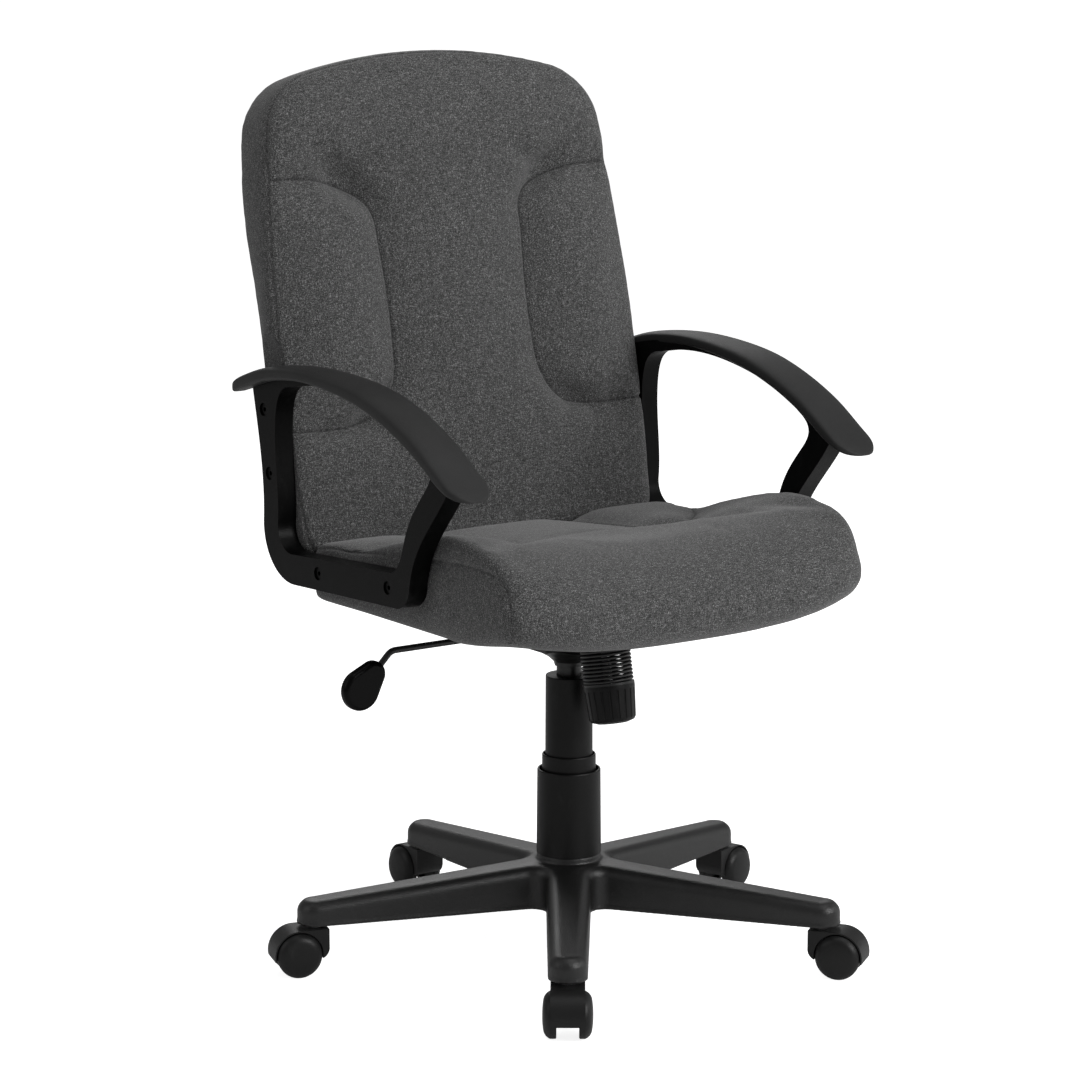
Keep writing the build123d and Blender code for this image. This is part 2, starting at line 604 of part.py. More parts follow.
# ---------------------------------------------------------------- back
def back_outline(inset):
    """Outline of the back in its own plane, drawn inside by an inset: arched top, round corners."""
    low = BACK_LOW + inset
    high = BACK_HIGH - inset
    corner_drop = 36.0
    side = [(239 - inset, low), (246.5 - inset, 215), (221 - inset, high - corner_drop)]
    with BuildSketch() as outline:
        with BuildLine() as _:
            ThreePointArc(*side)
            ThreePointArc(side[2], (0, high), (-side[2][0], side[2][1]))
            ThreePointArc(*[(-x, y) for x, y in reversed(side)])
            Line((-side[0][0], low), side[0])
        make_face()
        fillet([v for v in outline.vertices() if v.Y > 300], BACK_TOP_R - inset)
        fillet([v for v in outline.vertices() if v.Y < 0 and abs(v.X) > side[0][0] - 1], max(BACK_FOOT_R - inset, 8))
    return outline.sketch


def back_slab(inset, front, rear):
    """Slab of the back between two depths behind its front plane."""
    shape = BACK_PLANE * Pos(0, 0, -rear) * back_outline(inset)
    return extrude(shape, rear - front, dir=BACK_PLANE.z_dir)


def back_board():
    """Plywood core of the back."""
    return back_slab(24, 16, 34) - back_bolt_shanks()


def back_cushion():
    """Padded back with the room its core and bolts take."""
    body = back_slab(0, 0, BACK_THICK)
    faces = body.faces().sort_by(Axis(BACK_PLANE.origin, BACK_PLANE.z_dir))
    body = fillet(faces[0].edges() + faces[-1].edges(), 14)
    for side in (-1, 1):
        near = side * (ARM_INNER - ARM_GAP)
        far = side * ARM_OUTER
        body -= block((min(near, far), 0, 0), (max(near, far), 400, PAD_CLEAR_Z))
    return body - back_slab(24, 16, 34) - back_bolt_shanks()


# ---------------------------------------------------------------- arms
def arm_bolt_shanks(places, x_low, x_high):
    """Shanks of the bolts through both arm frames."""
    shanks = []
    for y, z in places:
        for side in (-1, 1):
            low = min(side * x_low, side * x_high)
            shanks.append(x_cylinder(BOLT_SHANK_R, low, low + x_high - x_low, y, z))
    return shanks


def seat_bolt_shanks():
    """Shanks of the bolts in the seat rails."""
    return Compound(arm_bolt_shanks(SEAT_BOLTS, 196, ARM_OUTER - 6))


def back_bolt_shanks():
    """Shanks of the bolts in the back core."""
    return Compound(arm_bolt_shanks(BACK_BOLTS, 196, ARM_OUTER - 6))


def arm_bolts():
    """Eight identical bolts that hold both arm frames to the seat and the back."""
    bolts = []
    for y, z in SEAT_BOLTS + BACK_BOLTS:
        for side in (-1, 1):
            shank_low = min(side * 196, side * (ARM_OUTER - 6))
            shank = x_cylinder(BOLT_SHANK_R, shank_low, shank_low + ARM_OUTER - 6 - 196, y, z)
            head_low = min(side * (ARM_OUTER - 6), side * (ARM_OUTER - 2))
            head = x_cylinder(BOLT_HEAD_R, head_low, head_low + 4, y, z)
            socket = x_cylinder(2.6, head_low - 1, head_low + 5, y, z)
            bolts.append(shank + (head - socket))
    return Compound(bolts)


# Heights of the pad's top and of the loop's upper edge against Y, front to rear.
PAD_TOP = [(-197, 570), (-176, 584), (-118, 621), (-49, 649), (14, 663), (100, 669), (178, 664), (235, 650), (278, 634)]
PAD_UNDER = [(-197, 566), (-160, 576), (-118, 601), (-60, 627), (10, 646), (100, 655), (180, 648), (235, 634), (278, 623)]


def pad_face_lines():
    """Outline of the pad's side view."""
    with BuildLine() as lines:
        top = Spline([(0, y, z) for y, z in PAD_TOP])
        under = Spline([(0, y, z) for y, z in PAD_UNDER])
        Line(top @ 0, under @ 0)
        Line(top @ 1, under @ 1)
    return lines.line


def arm_frame(side):
    """Moulded loop: rear upright, lower rail, raked front post and the bar under the pad."""
    with BuildSketch(Plane.YZ) as loop:
        with BuildLine() as _:
            under = Spline([(y, z + 5.5) for y, z in PAD_UNDER[1:-1]])
            rear = Spline([under @ 1, (226, 600), (216, 545), (214, 488)])
            ThreePointArc((214, 488), (196, 442), (150, 424.5))
            Line((150, 424.5), (-50, 432.5))
            ThreePointArc((-50, 432.5), (-69, 438), (-79, 455))
            Spline([(-79, 455), (-99, 505), (-128, 540), under @ 0])
        make_face()
        with BuildLine() as _:
            top = Spline([(y, z - 2) for y, z in ((-108, 603), (-60, 627), (10, 646), (100, 653), (150, 646))])
            Spline([top @ 1, (178, 632), (187, 600), (184, 530), (184, 488)])
            ThreePointArc((184, 488), (177, 467), (157, 458))
            Line((157, 458), (-44, 469))
            Spline([(-44, 469), (-53, 474), (-72, 512), (-105, 560), (-120, 583), top @ 0])
        make_face(mode=Mode.SUBTRACT)
    low = min(side * ARM_INNER, side * ARM_OUTER)
    body = Pos(low, 0, 0) * extrude(loop.sketch, ARM_OUTER - ARM_INNER, dir=(1, 0, 0))
    outer_x = side * ARM_OUTER
    for y, z in SEAT_BOLTS + BACK_BOLTS:
        recess_low = min(outer_x - side * 6, outer_x + side * 2)
        body -= x_cylinder(BOLT_HEAD_R + 0.3, recess_low, recess_low + 8, y, z)
    shanks = arm_bolt_shanks(SEAT_BOLTS + BACK_BOLTS, ARM_INNER - 5, ARM_OUTER)
    return body - Compound(shanks)


def pad_plan(side):
    """Plan of the pad: broad and round in front, drawn in to a narrow tail beside the back."""
    inner = [(231, -174), (232, -20), (238, 100), (242.5, 180), (251, 258)]
    outer = [(275, 258), (282, 180), (284.5, 60), (284.5, -80), (284, -174)]
    with BuildSketch() as plan:
        with BuildLine() as _:
            near = Spline([(side * x, y) for x, y in inner], tangents=[(0, 1), (side * 0.1, 1)])
            far = Spline([(side * x, y) for x, y in outer], tangents=[(side * 0.1, -1), (0, -1)])
            ThreePointArc(near @ 1, (side * 263, 272), far @ 0)
            ThreePointArc(far @ 1, (side * 257.5, -200), near @ 0)
        make_face()
    return plan.sketch


def arm_pad(side, frame):
    """Arm pad, grooved underneath for the frame's bar."""
    low = side * PAD_CENTRE - PAD_HALF - 2
    body = side_profile(pad_face_lines(), low, low + 2 * PAD_HALF + 4)
    body &= Pos(0, 0, 500) * extrude(pad_plan(side), 250)
    return body - frame


# ---------------------------------------------------------------- write every sub-part
SINGLE = {
    "base_star": base_star,
    "caster_sockets": caster_sockets,
    "column_cover_lower": column_cover_lower,
    "column_cover_middle": column_cover_middle,
    "column_cover_upper": column_cover_upper,
    "gas_lift_outer_tube": gas_lift_outer_tube,
    "gas_lift_guide_bush": gas_lift_guide_bush,
    "gas_lift_thrust_bearing": gas_lift_thrust_bearing,
    "gas_lift_piston_rod": gas_lift_piston_rod,
    "gas_lift_retaining_clip": gas_lift_retaining_clip,
    "gas_lift_cylinder": gas_lift_cylinder,
    "gas_lift_release_button": gas_lift_release_button,
    "mechanism_housing": mechanism_housing,
    "tension_spring": tension_spring,
    "tension_washer": tension_washer,
    "tension_knob": tension_knob,
    "tension_bolt": tension_bolt,
    "seat_plate": seat_plate,
    "seat_plate_bolts": seat_plate_bolts,
    "tilt_axle": tilt_axle,
    "lever_pivot_bush": lever_pivot_bush,
    "lever_rod": lever_rod,
    "lever_paddle": lever_paddle,
    "tilt_lock_plate": tilt_lock_plate,
    "seat_board": seat_board,
    "seat_side_rails": seat_side_rails,
    "seat_underside_cover": seat_underside_cover,
    "seat_cushion": seat_cushion,
    "back_board": back_board,
    "back_cushion": back_cushion,
    "arm_bolts": arm_bolts,
}

for node, build in SINGLE.items():
    save(build(), node)

for side, word in ((-1, "right"), (1, "left")):
    frame = arm_frame(side)
    save(frame, f"arm_frame_{word}")
    save(arm_pad(side, frame), f"arm_pad_{word}")

for index in range(LEG_COUNT):
    place = Rot(0, 0, LEG_FIRST_DEG + index * 360.0 / LEG_COUNT) * Pos(STEM_CIRCLE_R, 0, 0)
    number = index + 1
    save(place * caster_hood(), f"caster_{number}_hood")
    save(place * caster_stem(), f"caster_{number}_stem")
    save(place * caster_axle(), f"caster_{number}_axle")
    save(place * caster_wheel(-1), f"caster_{number}_wheel_a")
    save(place * caster_wheel(1), f"caster_{number}_wheel_b")
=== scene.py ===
import math

import bmesh
import bpy
import numpy as np
from mathutils import Matrix, Vector
from mathutils.bvhtree import BVHTree


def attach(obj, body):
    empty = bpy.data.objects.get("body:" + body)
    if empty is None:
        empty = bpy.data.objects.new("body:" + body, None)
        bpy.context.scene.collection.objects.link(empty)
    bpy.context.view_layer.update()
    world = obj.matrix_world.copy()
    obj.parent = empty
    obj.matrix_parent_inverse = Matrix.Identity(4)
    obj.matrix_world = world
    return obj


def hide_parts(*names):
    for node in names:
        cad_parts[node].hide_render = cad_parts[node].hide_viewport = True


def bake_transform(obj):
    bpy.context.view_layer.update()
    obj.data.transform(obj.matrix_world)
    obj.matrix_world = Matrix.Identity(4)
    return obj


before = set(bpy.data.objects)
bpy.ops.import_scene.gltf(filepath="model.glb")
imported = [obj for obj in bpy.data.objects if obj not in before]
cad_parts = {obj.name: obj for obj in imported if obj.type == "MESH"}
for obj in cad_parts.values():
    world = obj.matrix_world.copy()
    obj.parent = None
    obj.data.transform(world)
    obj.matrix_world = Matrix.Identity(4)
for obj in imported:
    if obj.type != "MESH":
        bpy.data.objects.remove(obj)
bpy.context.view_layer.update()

SCENE = bpy.context.scene
MM = 0.001

# ---------------------------------------------------------------- sizes of the CAD model (mm)
RECLINE = math.radians(12.1)
BACK_BASE = (0.0, 163.0, 476.0)          # where the back's own frame starts
BACK_LOW, BACK_HIGH = -28.0, 533.0       # along the back
PAD_CLEAR_Z = 672.0                      # above this the padding clears the arms
SEAT_HALF = 239.0
STEM_CIRCLE_R, LEG_TIP_TOP, LEG_ROOT_TOP, HUB_R = 293.0, 84.0, 106.5, 36.0
LEG_TIP_HALF, LEG_EDGE_R, LEG_COUNT, LEG_FIRST_DEG = 20.5, 13.0, 5, 90.0
SPRING_LEAN = math.radians(11.0)
KNOB_FOOT = (0.0, -82.76, 277.07)
SPRING_FOOT, SPRING_TOP = 45.7, 83.2     # along the bolt from the knob's foot
SPRING_TURNS = 8

# ---------------------------------------------------------------- sizes that differ from it (mm)
BACK_THICK = 70.0                        # 2 thinner, because the padding swells
ARM_INNER_X = 240.3                      # the padding stays 0.7 inside the arm frames
PAD_WIDENS = 14.0                        # how far it stands out again above them
WIRE_R, SPRING_R = 1.9, 26.3             # thicker wire inside the same outer radius

# ---------------------------------------------------------------- how the padding is made
VOXEL = 5.2 * MM                         # size of the cushions' even quads
PRESSURE = 4.0
CLOTH_FRAMES = 20
SEAM_STEP = 1.5                          # spacing of a seam line's points (mm)
SEAM_HOLD = 3.4 * MM                     # the cover is held this near a seam
SEAM_FINE = 8 * MM                       # and has finer quads this near one
CREASE_WIDTH, SEAM_SHADE_WIDTH = 2.0, 4.0      # of a seam's crease and of the painted shade along it (mm)
CREASE_FULL_SHADE = 2.0                        # a crease this deep gets the darkest painted shade (mm)
PUCKER_LENGTHS = (13.0, 19.0, 31.0)      # waves of the puckers along a seam (mm)
PUCKER_REACH = 13.0


# ---------------------------------------------------------------- mesh helpers
def link(obj):
    SCENE.collection.objects.link(obj)
    return obj


def shade_smooth(mesh):
    mesh.polygons.foreach_set("use_smooth", [True] * len(mesh.polygons))


def mesh_object(name, points, faces):
    """Smooth-shaded mesh object from points in metres."""
    mesh = bpy.data.meshes.new(name)
    mesh.from_pydata([tuple(p) for p in points], [], [tuple(f) for f in faces])
    mesh.update()
    shade_smooth(mesh)
    return link(bpy.data.objects.new(name, mesh))


def vectors(data, key):
    """A mesh's array of vectors, one row each."""
    out = np.empty(len(data) * 3)
    data.foreach_get(key, out)
    return out.reshape(-1, 3)


def coords(mesh):
    return vectors(mesh.vertices, "co")


def set_coords(mesh, points):
    mesh.vertices.foreach_set("co", np.ascontiguousarray(points, dtype=np.float64).ravel())
    mesh.update()


def normals(mesh):
    return vectors(mesh.vertex_normals, "vector")


def evaluated_mesh(obj):
    """New smooth-shaded mesh of an object as its modifiers or bevel make it."""
    deps = bpy.context.evaluated_depsgraph_get()
    mesh = bpy.data.meshes.new_from_object(obj.evaluated_get(deps))
    shade_smooth(mesh)
    return mesh


def baked(obj):
    """Replace the object's mesh with what its modifiers make of it."""
    mesh = evaluated_mesh(obj)
    obj.modifiers.clear()
    obj.data = mesh
    return obj


def soften(obj, rounds, group=""):
    """Smoothing modifier, on a vertex group or everywhere."""
    smooth = obj.modifiers.new("soften", "SMOOTH")
    smooth.factor = 0.5
    smooth.iterations = rounds
    smooth.vertex_group = group


def subdivide(obj):
    sub = obj.modifiers.new("finer", "SUBSURF")
    sub.levels = sub.render_levels = 1


def evened(obj, voxel, rounds):
    """Even quads over a closed shape, then smoothed."""
    remesh = obj.modifiers.new("even", "REMESH")
    remesh.mode = "VOXEL"
    remesh.voxel_size = voxel
    soften(obj, rounds)
    return baked(obj)


def rings_to_mesh(rings):
    """Quads between closed rings of equal length, with the two ends closed by a fan."""
    count = len(rings[0])
    points = [p for ring in rings for p in ring]
    faces = []
    for k in range(len(rings) - 1):
        for i in range(count):
            j = (i + 1) % count
            faces.append((k * count + i, k * count + j, (k + 1) * count + j, (k + 1) * count + i))
    for k, flip in ((0, True), (len(rings) - 1, False)):
        centre = len(points)
        points.append(np.mean(np.array(rings[k]), axis=0))
        for i in range(count):
            j = (i + 1) % count
            tri = (k * count + i, k * count + j, centre)
            faces.append(tri[::-1] if flip else tri)
    return points, faces


def smooth_line(points, spacing, closed=False):
    """Catmull-Rom curve through points, resampled at an even spacing."""
    pts = np.array(points, float)
    if closed:
        pts = np.vstack([pts[-1], pts, pts[0], pts[1]])
    else:
        pts = np.vstack([2 * pts[0] - pts[1], pts, 2 * pts[-1] - pts[-2]])
    dense = []
    for i in range(1, len(pts) - 2):
        p0, p1, p2, p3 = pts[i - 1:i + 3]
        for t in np.linspace(0, 1, 24, endpoint=False):
            dense.append(0.5 * (2 * p1 + (p2 - p0) * t + (2 * p0 - 5 * p1 + 4 * p2 - p3) * t ** 2
                                + (3 * p1 - p0 - 3 * p2 + p3) * t ** 3))
    dense.append(pts[-2])
    dense = np.array(dense)
    run = np.concatenate([[0], np.cumsum(np.linalg.norm(np.diff(dense, axis=0), axis=1))])
    steps = np.linspace(0, run[-1], max(int(run[-1] / spacing), 2) + 1)
    return np.stack([np.interp(steps, run, dense[:, k]) for k in range(dense.shape[1])], axis=1)


def nearest(points, line):
    """Distance from each point to the nearest sample of a line, and that sample's index."""
    best = np.empty(len(points))
    index = np.empty(len(points), int)
    for start in range(0, len(points), 4000):
        part = points[start:start + 4000]
        gap = ((part[:, None, :] - line[None, :, :]) ** 2).sum(-1)
        index[start:start + 4000] = gap.argmin(1)
        best[start:start + 4000] = np.sqrt(gap.min(1))
    return best, index


def bump(distance, width):
    return np.exp(-(distance / width) ** 2)


def rise(value, low, high):
    """0 below low, 1 above high, smooth between."""
    t = np.clip((value - low) / (high - low), 0, 1)
    return t * t * (3 - 2 * t)


# ---------------------------------------------------------------- padded shapes
def keep_rest(mesh):
    """Note where each point is before the cover is drawn in and blown out."""
    rest = mesh.attributes.new("rest", "FLOAT_VECTOR", "POINT")
    rest.data.foreach_set("vector", coords(mesh).ravel())


def rest_coords(mesh):
    return vectors(mesh.attributes["rest"].data, "vector")


def drop_rest(mesh):
    mesh.attributes.remove(mesh.attributes["rest"])


def on_surface(obj, line):
    """A line of points dropped onto the nearest place of an object's surface."""
    tree = BVHTree.FromObject(obj, bpy.context.evaluated_depsgraph_get())
    return np.array([tuple(tree.find_nearest(Vector(p))[0]) for p in line])


def seam_gaps(rest, lines):
    """Distance of each point to the nearer of the two pad seams, and of the two edge seams."""
    gaps = [nearest(rest, line)[0] for line in lines]
    return np.minimum(gaps[0], gaps[1]), np.minimum(gaps[2], gaps[3])


def inflate(obj, held, cap):
    """Cloth simulation of a cover blown out against the points that hold it, its movement capped."""
    group = obj.vertex_groups.new(name="held")
    for i in np.nonzero(held)[0]:
        group.add([int(i)], 1.0, "REPLACE")
    before = coords(obj.data)
    cloth = obj.modifiers.new("cover", "CLOTH")
    s = cloth.settings
    s.quality = 5
    s.mass = 0.25
    s.tension_stiffness = s.compression_stiffness = 18
    s.shear_stiffness = 6
    s.bending_stiffness = 2.5
    s.air_damping = 4
    s.use_pressure = True
    s.uniform_pressure_force = PRESSURE
    s.vertex_group_mass = "held"
    s.shrink_min = 0.0
    s.effector_weights.gravity = 0
    cloth.collision_settings.use_collision = False
    cloth.collision_settings.use_self_collision = False
    cloth.point_cache.frame_start = 1
    cloth.point_cache.frame_end = CLOTH_FRAMES
    for frame_number in range(1, CLOTH_FRAMES + 1):
        SCENE.frame_set(frame_number)
    deps = bpy.context.evaluated_depsgraph_get()
    after = coords(obj.evaluated_get(deps).data)
    obj.modifiers.clear()
    obj.vertex_groups.clear()
    SCENE.frame_set(1)
    move = after - before
    length = np.linalg.norm(move, axis=1, keepdims=True)
    move *= np.minimum(1, cap / np.maximum(length, 1e-9))
    print(obj.name, "moved up to", round(float(length.max()) / MM, 1), "mm, mean",
          round(float(length.mean()) / MM, 1))
    set_coords(obj.data, before + move)


def calm(obj, gap):
    """Even out small wrinkles of the cover away from its seams."""
    group = obj.vertex_groups.new(name="calm")
    for i, weight in enumerate(rise(gap, 5 * MM, 24 * MM)):
        if weight > 0.01:
            group.add([i], float(weight), "REPLACE")
    soften(obj, 14, group="calm")
    baked(obj)
    obj.vertex_groups.clear()


def refine(obj, lines):
    """One subdivision everywhere, and one more beside the seams."""
    subdivide(obj)
    baked(obj)
    rest = rest_coords(obj.data)
    near = np.full(len(rest), 1e9)
    for line in lines:
        near = np.minimum(near, nearest(rest, line)[0])
    bm = bmesh.new()
    bm.from_mesh(obj.data)
    bm.verts.ensure_lookup_table()
    edges = [e for e in bm.edges if all(near[v.index] < SEAM_FINE for v in e.verts)]
    bmesh.ops.subdivide_edges(bm, edges=edges, cuts=1, use_grid_fill=True, smooth=0.0)
    bm.to_mesh(obj.data)
    bm.free()
    shade_smooth(obj.data)
    obj.data.update()


def sew(obj, lines, depths, puckers, seed):
    """Draw the cover in along its seams (mm).

    Each seam is a narrow crease, with soft uneven puckers that die away beside it, and painted shade
    along it.
    """
    mesh = obj.data
    rest = rest_coords(mesh)
    points = coords(mesh)
    out = normals(mesh)
    rng = np.random.default_rng(seed)
    crease = np.zeros(len(points))
    gather = np.zeros(len(points))
    seam_shade = np.full(len(points), 1.0)
    for line, depth, pucker in zip(lines, depths, puckers):
        distance, index = nearest(rest, line)
        distance = distance / MM
        crease = np.maximum(crease, depth * bump(distance, CREASE_WIDTH))
        # Painted shade along each crease, darker the deeper the crease is
        strength = min(1.0, depth / CREASE_FULL_SHADE)
        seam_shade = np.minimum(seam_shade, 1 - strength * (1 - np.clip(distance / SEAM_SHADE_WIDTH, 0, 1)))
        run = index * SEAM_STEP
        wave = np.zeros(len(points))
        for length in PUCKER_LENGTHS:
            phase = rng.uniform(0, 6.28)
            wave += np.sin(run * 2 * math.pi / length + phase + 1.3 * np.sin(run / 47.0 + phase))
        away = np.exp(-distance / PUCKER_REACH)
        gather += pucker * wave / len(PUCKER_LENGTHS) * away * rise(distance, 0, 5)
    points += out * ((gather - crease) * MM)[:, None]
    set_coords(mesh, points)
    # The painted shade along the creases is kept as the seam attribute, for the fabric's colour
    layer = mesh.attributes.new("seam", "FLOAT", "POINT")
    layer.data.foreach_set("value", seam_shade.astype(np.float32))


# ---------------------------------------------------------------- back cushion (its own frame, mm)
BACK_WIDEST = (247.2, 160.0)             # half width, and how far up it is
BACK_TOP_DROP = (36.0, 221.0)            # how far the top falls at this distance from the middle
BACK_CORNERS = (46.0, 20.0)              # radii of the upper and lower corners
BACK_MIDDLE = 250.0                      # rings are drawn from here, and the corners' radius changes
BACK_SWELL = -1.0                        # the rings start this far inside the outline, out if negative
BACK_RIM, BACK_REAR_RIM = 11.0, 18.0     # radii of the front and rear edges
BACK_CAP = 26 * MM                       # the most that the cloth may move
CORE_HALF, CORE_CLEAR = 228.0, 12.0      # out to CORE_HALF the cover is pressed in by CORE_CLEAR at most
PAD_SEAM = [  # round a side pad: across, and height above the floor
    (241, 862), (232, 861), (185, 859), (145, 852), (116, 838), (101, 818), (98, 782), (95, 735),
    (95, 678), (101, 630), (126, 599), (160, 588), (190, 586), (236, 587), (247, 588),
]
BACK_DIPS = [  # pulled in, or out if negative: across, along, depth, reach along and across a lean, lean
    (138, 390, 15.0, 48.0, 18.0, 42.0),
    (118, 402, 7.0, 34.0, 13.0, -20.0),
    (142, 124, 10.0, 32.0, 13.0, -28.0),
    (132, 108, 4.0, 22.0, 10.0, 40.0),
    (172, 250, -5.0, 130.0, 48.0, 90.0),
]


def back_edge(x, s):
    """How far inside the back's outline a place is."""
    x = np.abs(x)
    side = BACK_WIDEST[0] - 0.000231 * (s - BACK_WIDEST[1]) ** 2 - x
    end = np.minimum(BACK_HIGH - BACK_TOP_DROP[0] * (x / BACK_TOP_DROP[1]) ** 2 - s, s - BACK_LOW)
    corner = np.where(s > BACK_MIDDLE, *BACK_CORNERS)
    a = np.clip(corner - side, 0, None)
    b = np.clip(corner - end, 0, None)
    return np.where((a > 0) & (b > 0), corner - np.hypot(a, b), np.minimum(side, end))


def back_ring(inset, count=200):
    """Points of the outline drawn inside by an inset."""
    angle = np.linspace(0, 2 * math.pi, count, endpoint=False)
    dx, ds = np.cos(angle), np.sin(angle)
    low, high = np.zeros(count), np.full(count, 420.0)
    for _ in range(40):
        middle = (low + high) / 2
        inside = back_edge(middle * dx, BACK_MIDDLE + middle * ds) > inset
        low = np.where(inside, middle, low)
        high = np.where(inside, high, middle)
    return low * dx, BACK_MIDDLE + low * ds


def back_front(x, s):
    """How far the front of the back stands forward before it is stuffed."""
    edge = np.clip(back_edge(x, s), 0, None)
    crown = 9 * (1 - np.exp(-edge / 45))
    head = 7 * bump(s - 445, 62) * (1 - 0.35 * (np.abs(x) / 240) ** 2)
    hollow = -4 * bump(x, 75) * bump(s - 240, 130)
    foot = rise(s, -10, 70)
    return crown * (0.25 + 0.75 * foot) + (head + hollow) * foot


def pull_in(obj):
    """Press soft hollows into both halves of the back's front, and keep it in front of the plywood."""
    points = coords(obj.data)
    rest = rest_coords(obj.data) / MM
    front = rise(rest[:, 2], -8, 2)
    for across, along, depth, long_reach, short_reach, lean in BACK_DIPS:
        a = math.radians(lean)
        for side in (-1, 1):
            dx, ds = side * rest[:, 0] - across, rest[:, 1] - along
            u = dx * math.cos(a) + ds * math.sin(a)
            v = ds * math.cos(a) - dx * math.sin(a)
            points[:, 2] -= depth * MM * bump(u, long_reach) * bump(v, short_reach) * front
    ahead = (front > 0) & (np.abs(rest[:, 0]) < CORE_HALF)
    points[ahead, 2] = np.maximum(points[ahead, 2], -CORE_CLEAR * MM)
    set_coords(obj.data, points)


def back_place():
    """Placement of the back's own frame: across, up the recline, forward."""
    c, s = math.cos(RECLINE), math.sin(RECLINE)
    turn = Matrix(((1, 0, 0, 0), (0, s, -c, 0), (0, c, s, 0), (0, 0, 0, 1)))
    return Matrix.Translation(Vector(BACK_BASE) * MM) @ turn


def back_rings():
    """Rings of the unstuffed back, from the middle of its front to the middle of its rear."""
    rings = []

    def add(inset, forward, relief):
        x, s = back_ring(inset + BACK_SWELL)
        rings.append(np.stack([x, s, forward + back_front(x, s) * relief], axis=1) * MM)

    for inset in (215, 180, 150, 120, 90, 65, 45, 30, 20, 14):
        add(inset, 0, 1)
    for step in range(7):
        a = math.radians(15 * step)
        add(BACK_RIM * (1 - math.sin(a)), -BACK_RIM * (1 - math.cos(a)), math.cos(a))
    for depth in (20, 30, 40):
        add(0, -depth, 0)
    for step in range(1, 7):
        a = math.radians(15 * step)
        forward = -(BACK_THICK - BACK_REAR_RIM) - BACK_REAR_RIM * math.sin(a)
        add(BACK_REAR_RIM * (1 - math.cos(a)), forward, 0)
    for inset in (40, 70, 110, 160, 215):
        add(inset, -BACK_THICK, 0)
    return rings


def taper_rear(obj):
    """Narrow and thin the back's rear towards its foot."""
    shape = coords(obj.data)
    taper = rise(-shape[:, 2] / MM, 20, 60) * rise(400 - shape[:, 1] / MM, 0, 180)
    shape[:, 0] -= shape[:, 0] * 0.034 * taper
    shape[:, 2] += 9 * MM * taper
    set_coords(obj.data, shape)


def back_seams(obj):
    """The seams round the two side pads, then those along the front and the rear edge."""
    lines = []
    for side in (-1, 1):
        seam = [(side * x, (z - BACK_BASE[2]) / math.cos(RECLINE)) for x, z in PAD_SEAM]
        flat = smooth_line(seam, SEAM_STEP)
        line = np.stack([flat[:, 0], flat[:, 1], back_front(flat[:, 0], flat[:, 1])], axis=1)
        inside = back_edge(flat[:, 0], flat[:, 1]) > BACK_SWELL + 1
        lines.append(on_surface(obj, line[inside] * MM))
    for inset, forward in ((BACK_RIM * 0.3, -BACK_RIM * 0.3), (BACK_REAR_RIM * 0.25, 7 - BACK_THICK)):
        x, s = back_ring(BACK_SWELL + inset)
        edge = np.stack([x, s, forward + 0 * x], axis=1)[::4]
        lines.append(on_surface(obj, smooth_line(edge, SEAM_STEP, closed=True) * MM))
    return lines


def back_cushion():
    obj = evened(mesh_object("back_padding", *rings_to_mesh(back_rings())), VOXEL, 6)
    taper_rear(obj)
    keep_rest(obj.data)
    rest = coords(obj.data)
    lines = back_seams(obj)
    pad_gap, edge_gap = seam_gaps(rest, lines)
    inner = 1 - 0.85 * rise(np.abs(rest[:, 0]), 0.198, 0.236)
    drawn_in = 10.0 * MM * inner * bump(pad_gap, 15 * MM) + 1.0 * MM * bump(edge_gap, 6 * MM)
    set_coords(obj.data, rest - normals(obj.data) * drawn_in[:, None])
    held = ((pad_gap < SEAM_HOLD) & (inner > 0.5)) | (edge_gap < SEAM_HOLD)
    held |= (rest[:, 1] < -5 * MM) | (rest[:, 2] < -(BACK_THICK - 14) * MM)
    inflate(obj, held, BACK_CAP)
    calm(obj, np.minimum(pad_gap, edge_gap))
    pull_in(obj)
    refine(obj, lines)
    sew(obj, lines, [2.2, 2.2, 1.5, 1.5], [0.6, 0.6, 0.2, 0.2], 11)
    obj.data.transform(back_place())
    points = coords(obj.data)
    above = rise(points[:, 2] / MM, PAD_CLEAR_Z, PAD_CLEAR_Z + 45)
    limit = (ARM_INNER_X + PAD_WIDENS * above) * MM
    points[:, 0] = np.clip(points[:, 0], -limit, limit)
    set_coords(obj.data, points)
    drop_rest(obj.data)
    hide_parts("back_cushion")
    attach(obj, "seat")
    return obj


# ---------------------------------------------------------------- seat cushion (mm)
SEAT_SIDE = [  # side view: (y, z) of each corner and the radius that rounds it
    ((161.0, 402.0), 6.0), ((161.0, 463.0), 14.0), ((10.0, 480.0), 250.0),
    ((-130.0, 491.0), 260.0), ((-243.0, 489.0), 62.0), ((-251.0, 399.5), 30.0),
]
SEAT_CENTRE = (-40.0, 452.0)             # middle of the side view
SEAT_RIM = 13.0                          # radius of the edge along each side
SEAT_START = SEAT_HALF - 1.0             # half width before it is stuffed
SEAT_CAP = 11 * MM                       # the most that the cloth may move
SEAT_SEAM = [  # from above, over one half of the seat: (x, y)
    (105, 158), (104, 120), (104, 70), (106, 25), (109, -5), (114, -20), (128, -26), (156, -14),
    (186, 16), (210, 48), (228, 74), (240, 88),
]
SIDE_SEAM = [  # side view: (y, z)
    (158, 461), (103, 470), (0, 478), (-95, 487), (-160, 490), (-196, 487), (-215, 474), (-224, 450),
    (-224, 424), (-214, 404),
]
DIMPLE = (113.0, -22.0)                  # from above
DIMPLE_REACH = 26 * MM
DIMPLE_BEFORE, DIMPLE_AFTER = 6 * MM, 8 * MM     # pressed in before and after the cloth is blown out
SEAT_TOP_ONLY = 0.455                    # metres: the padding above this is the seat's top


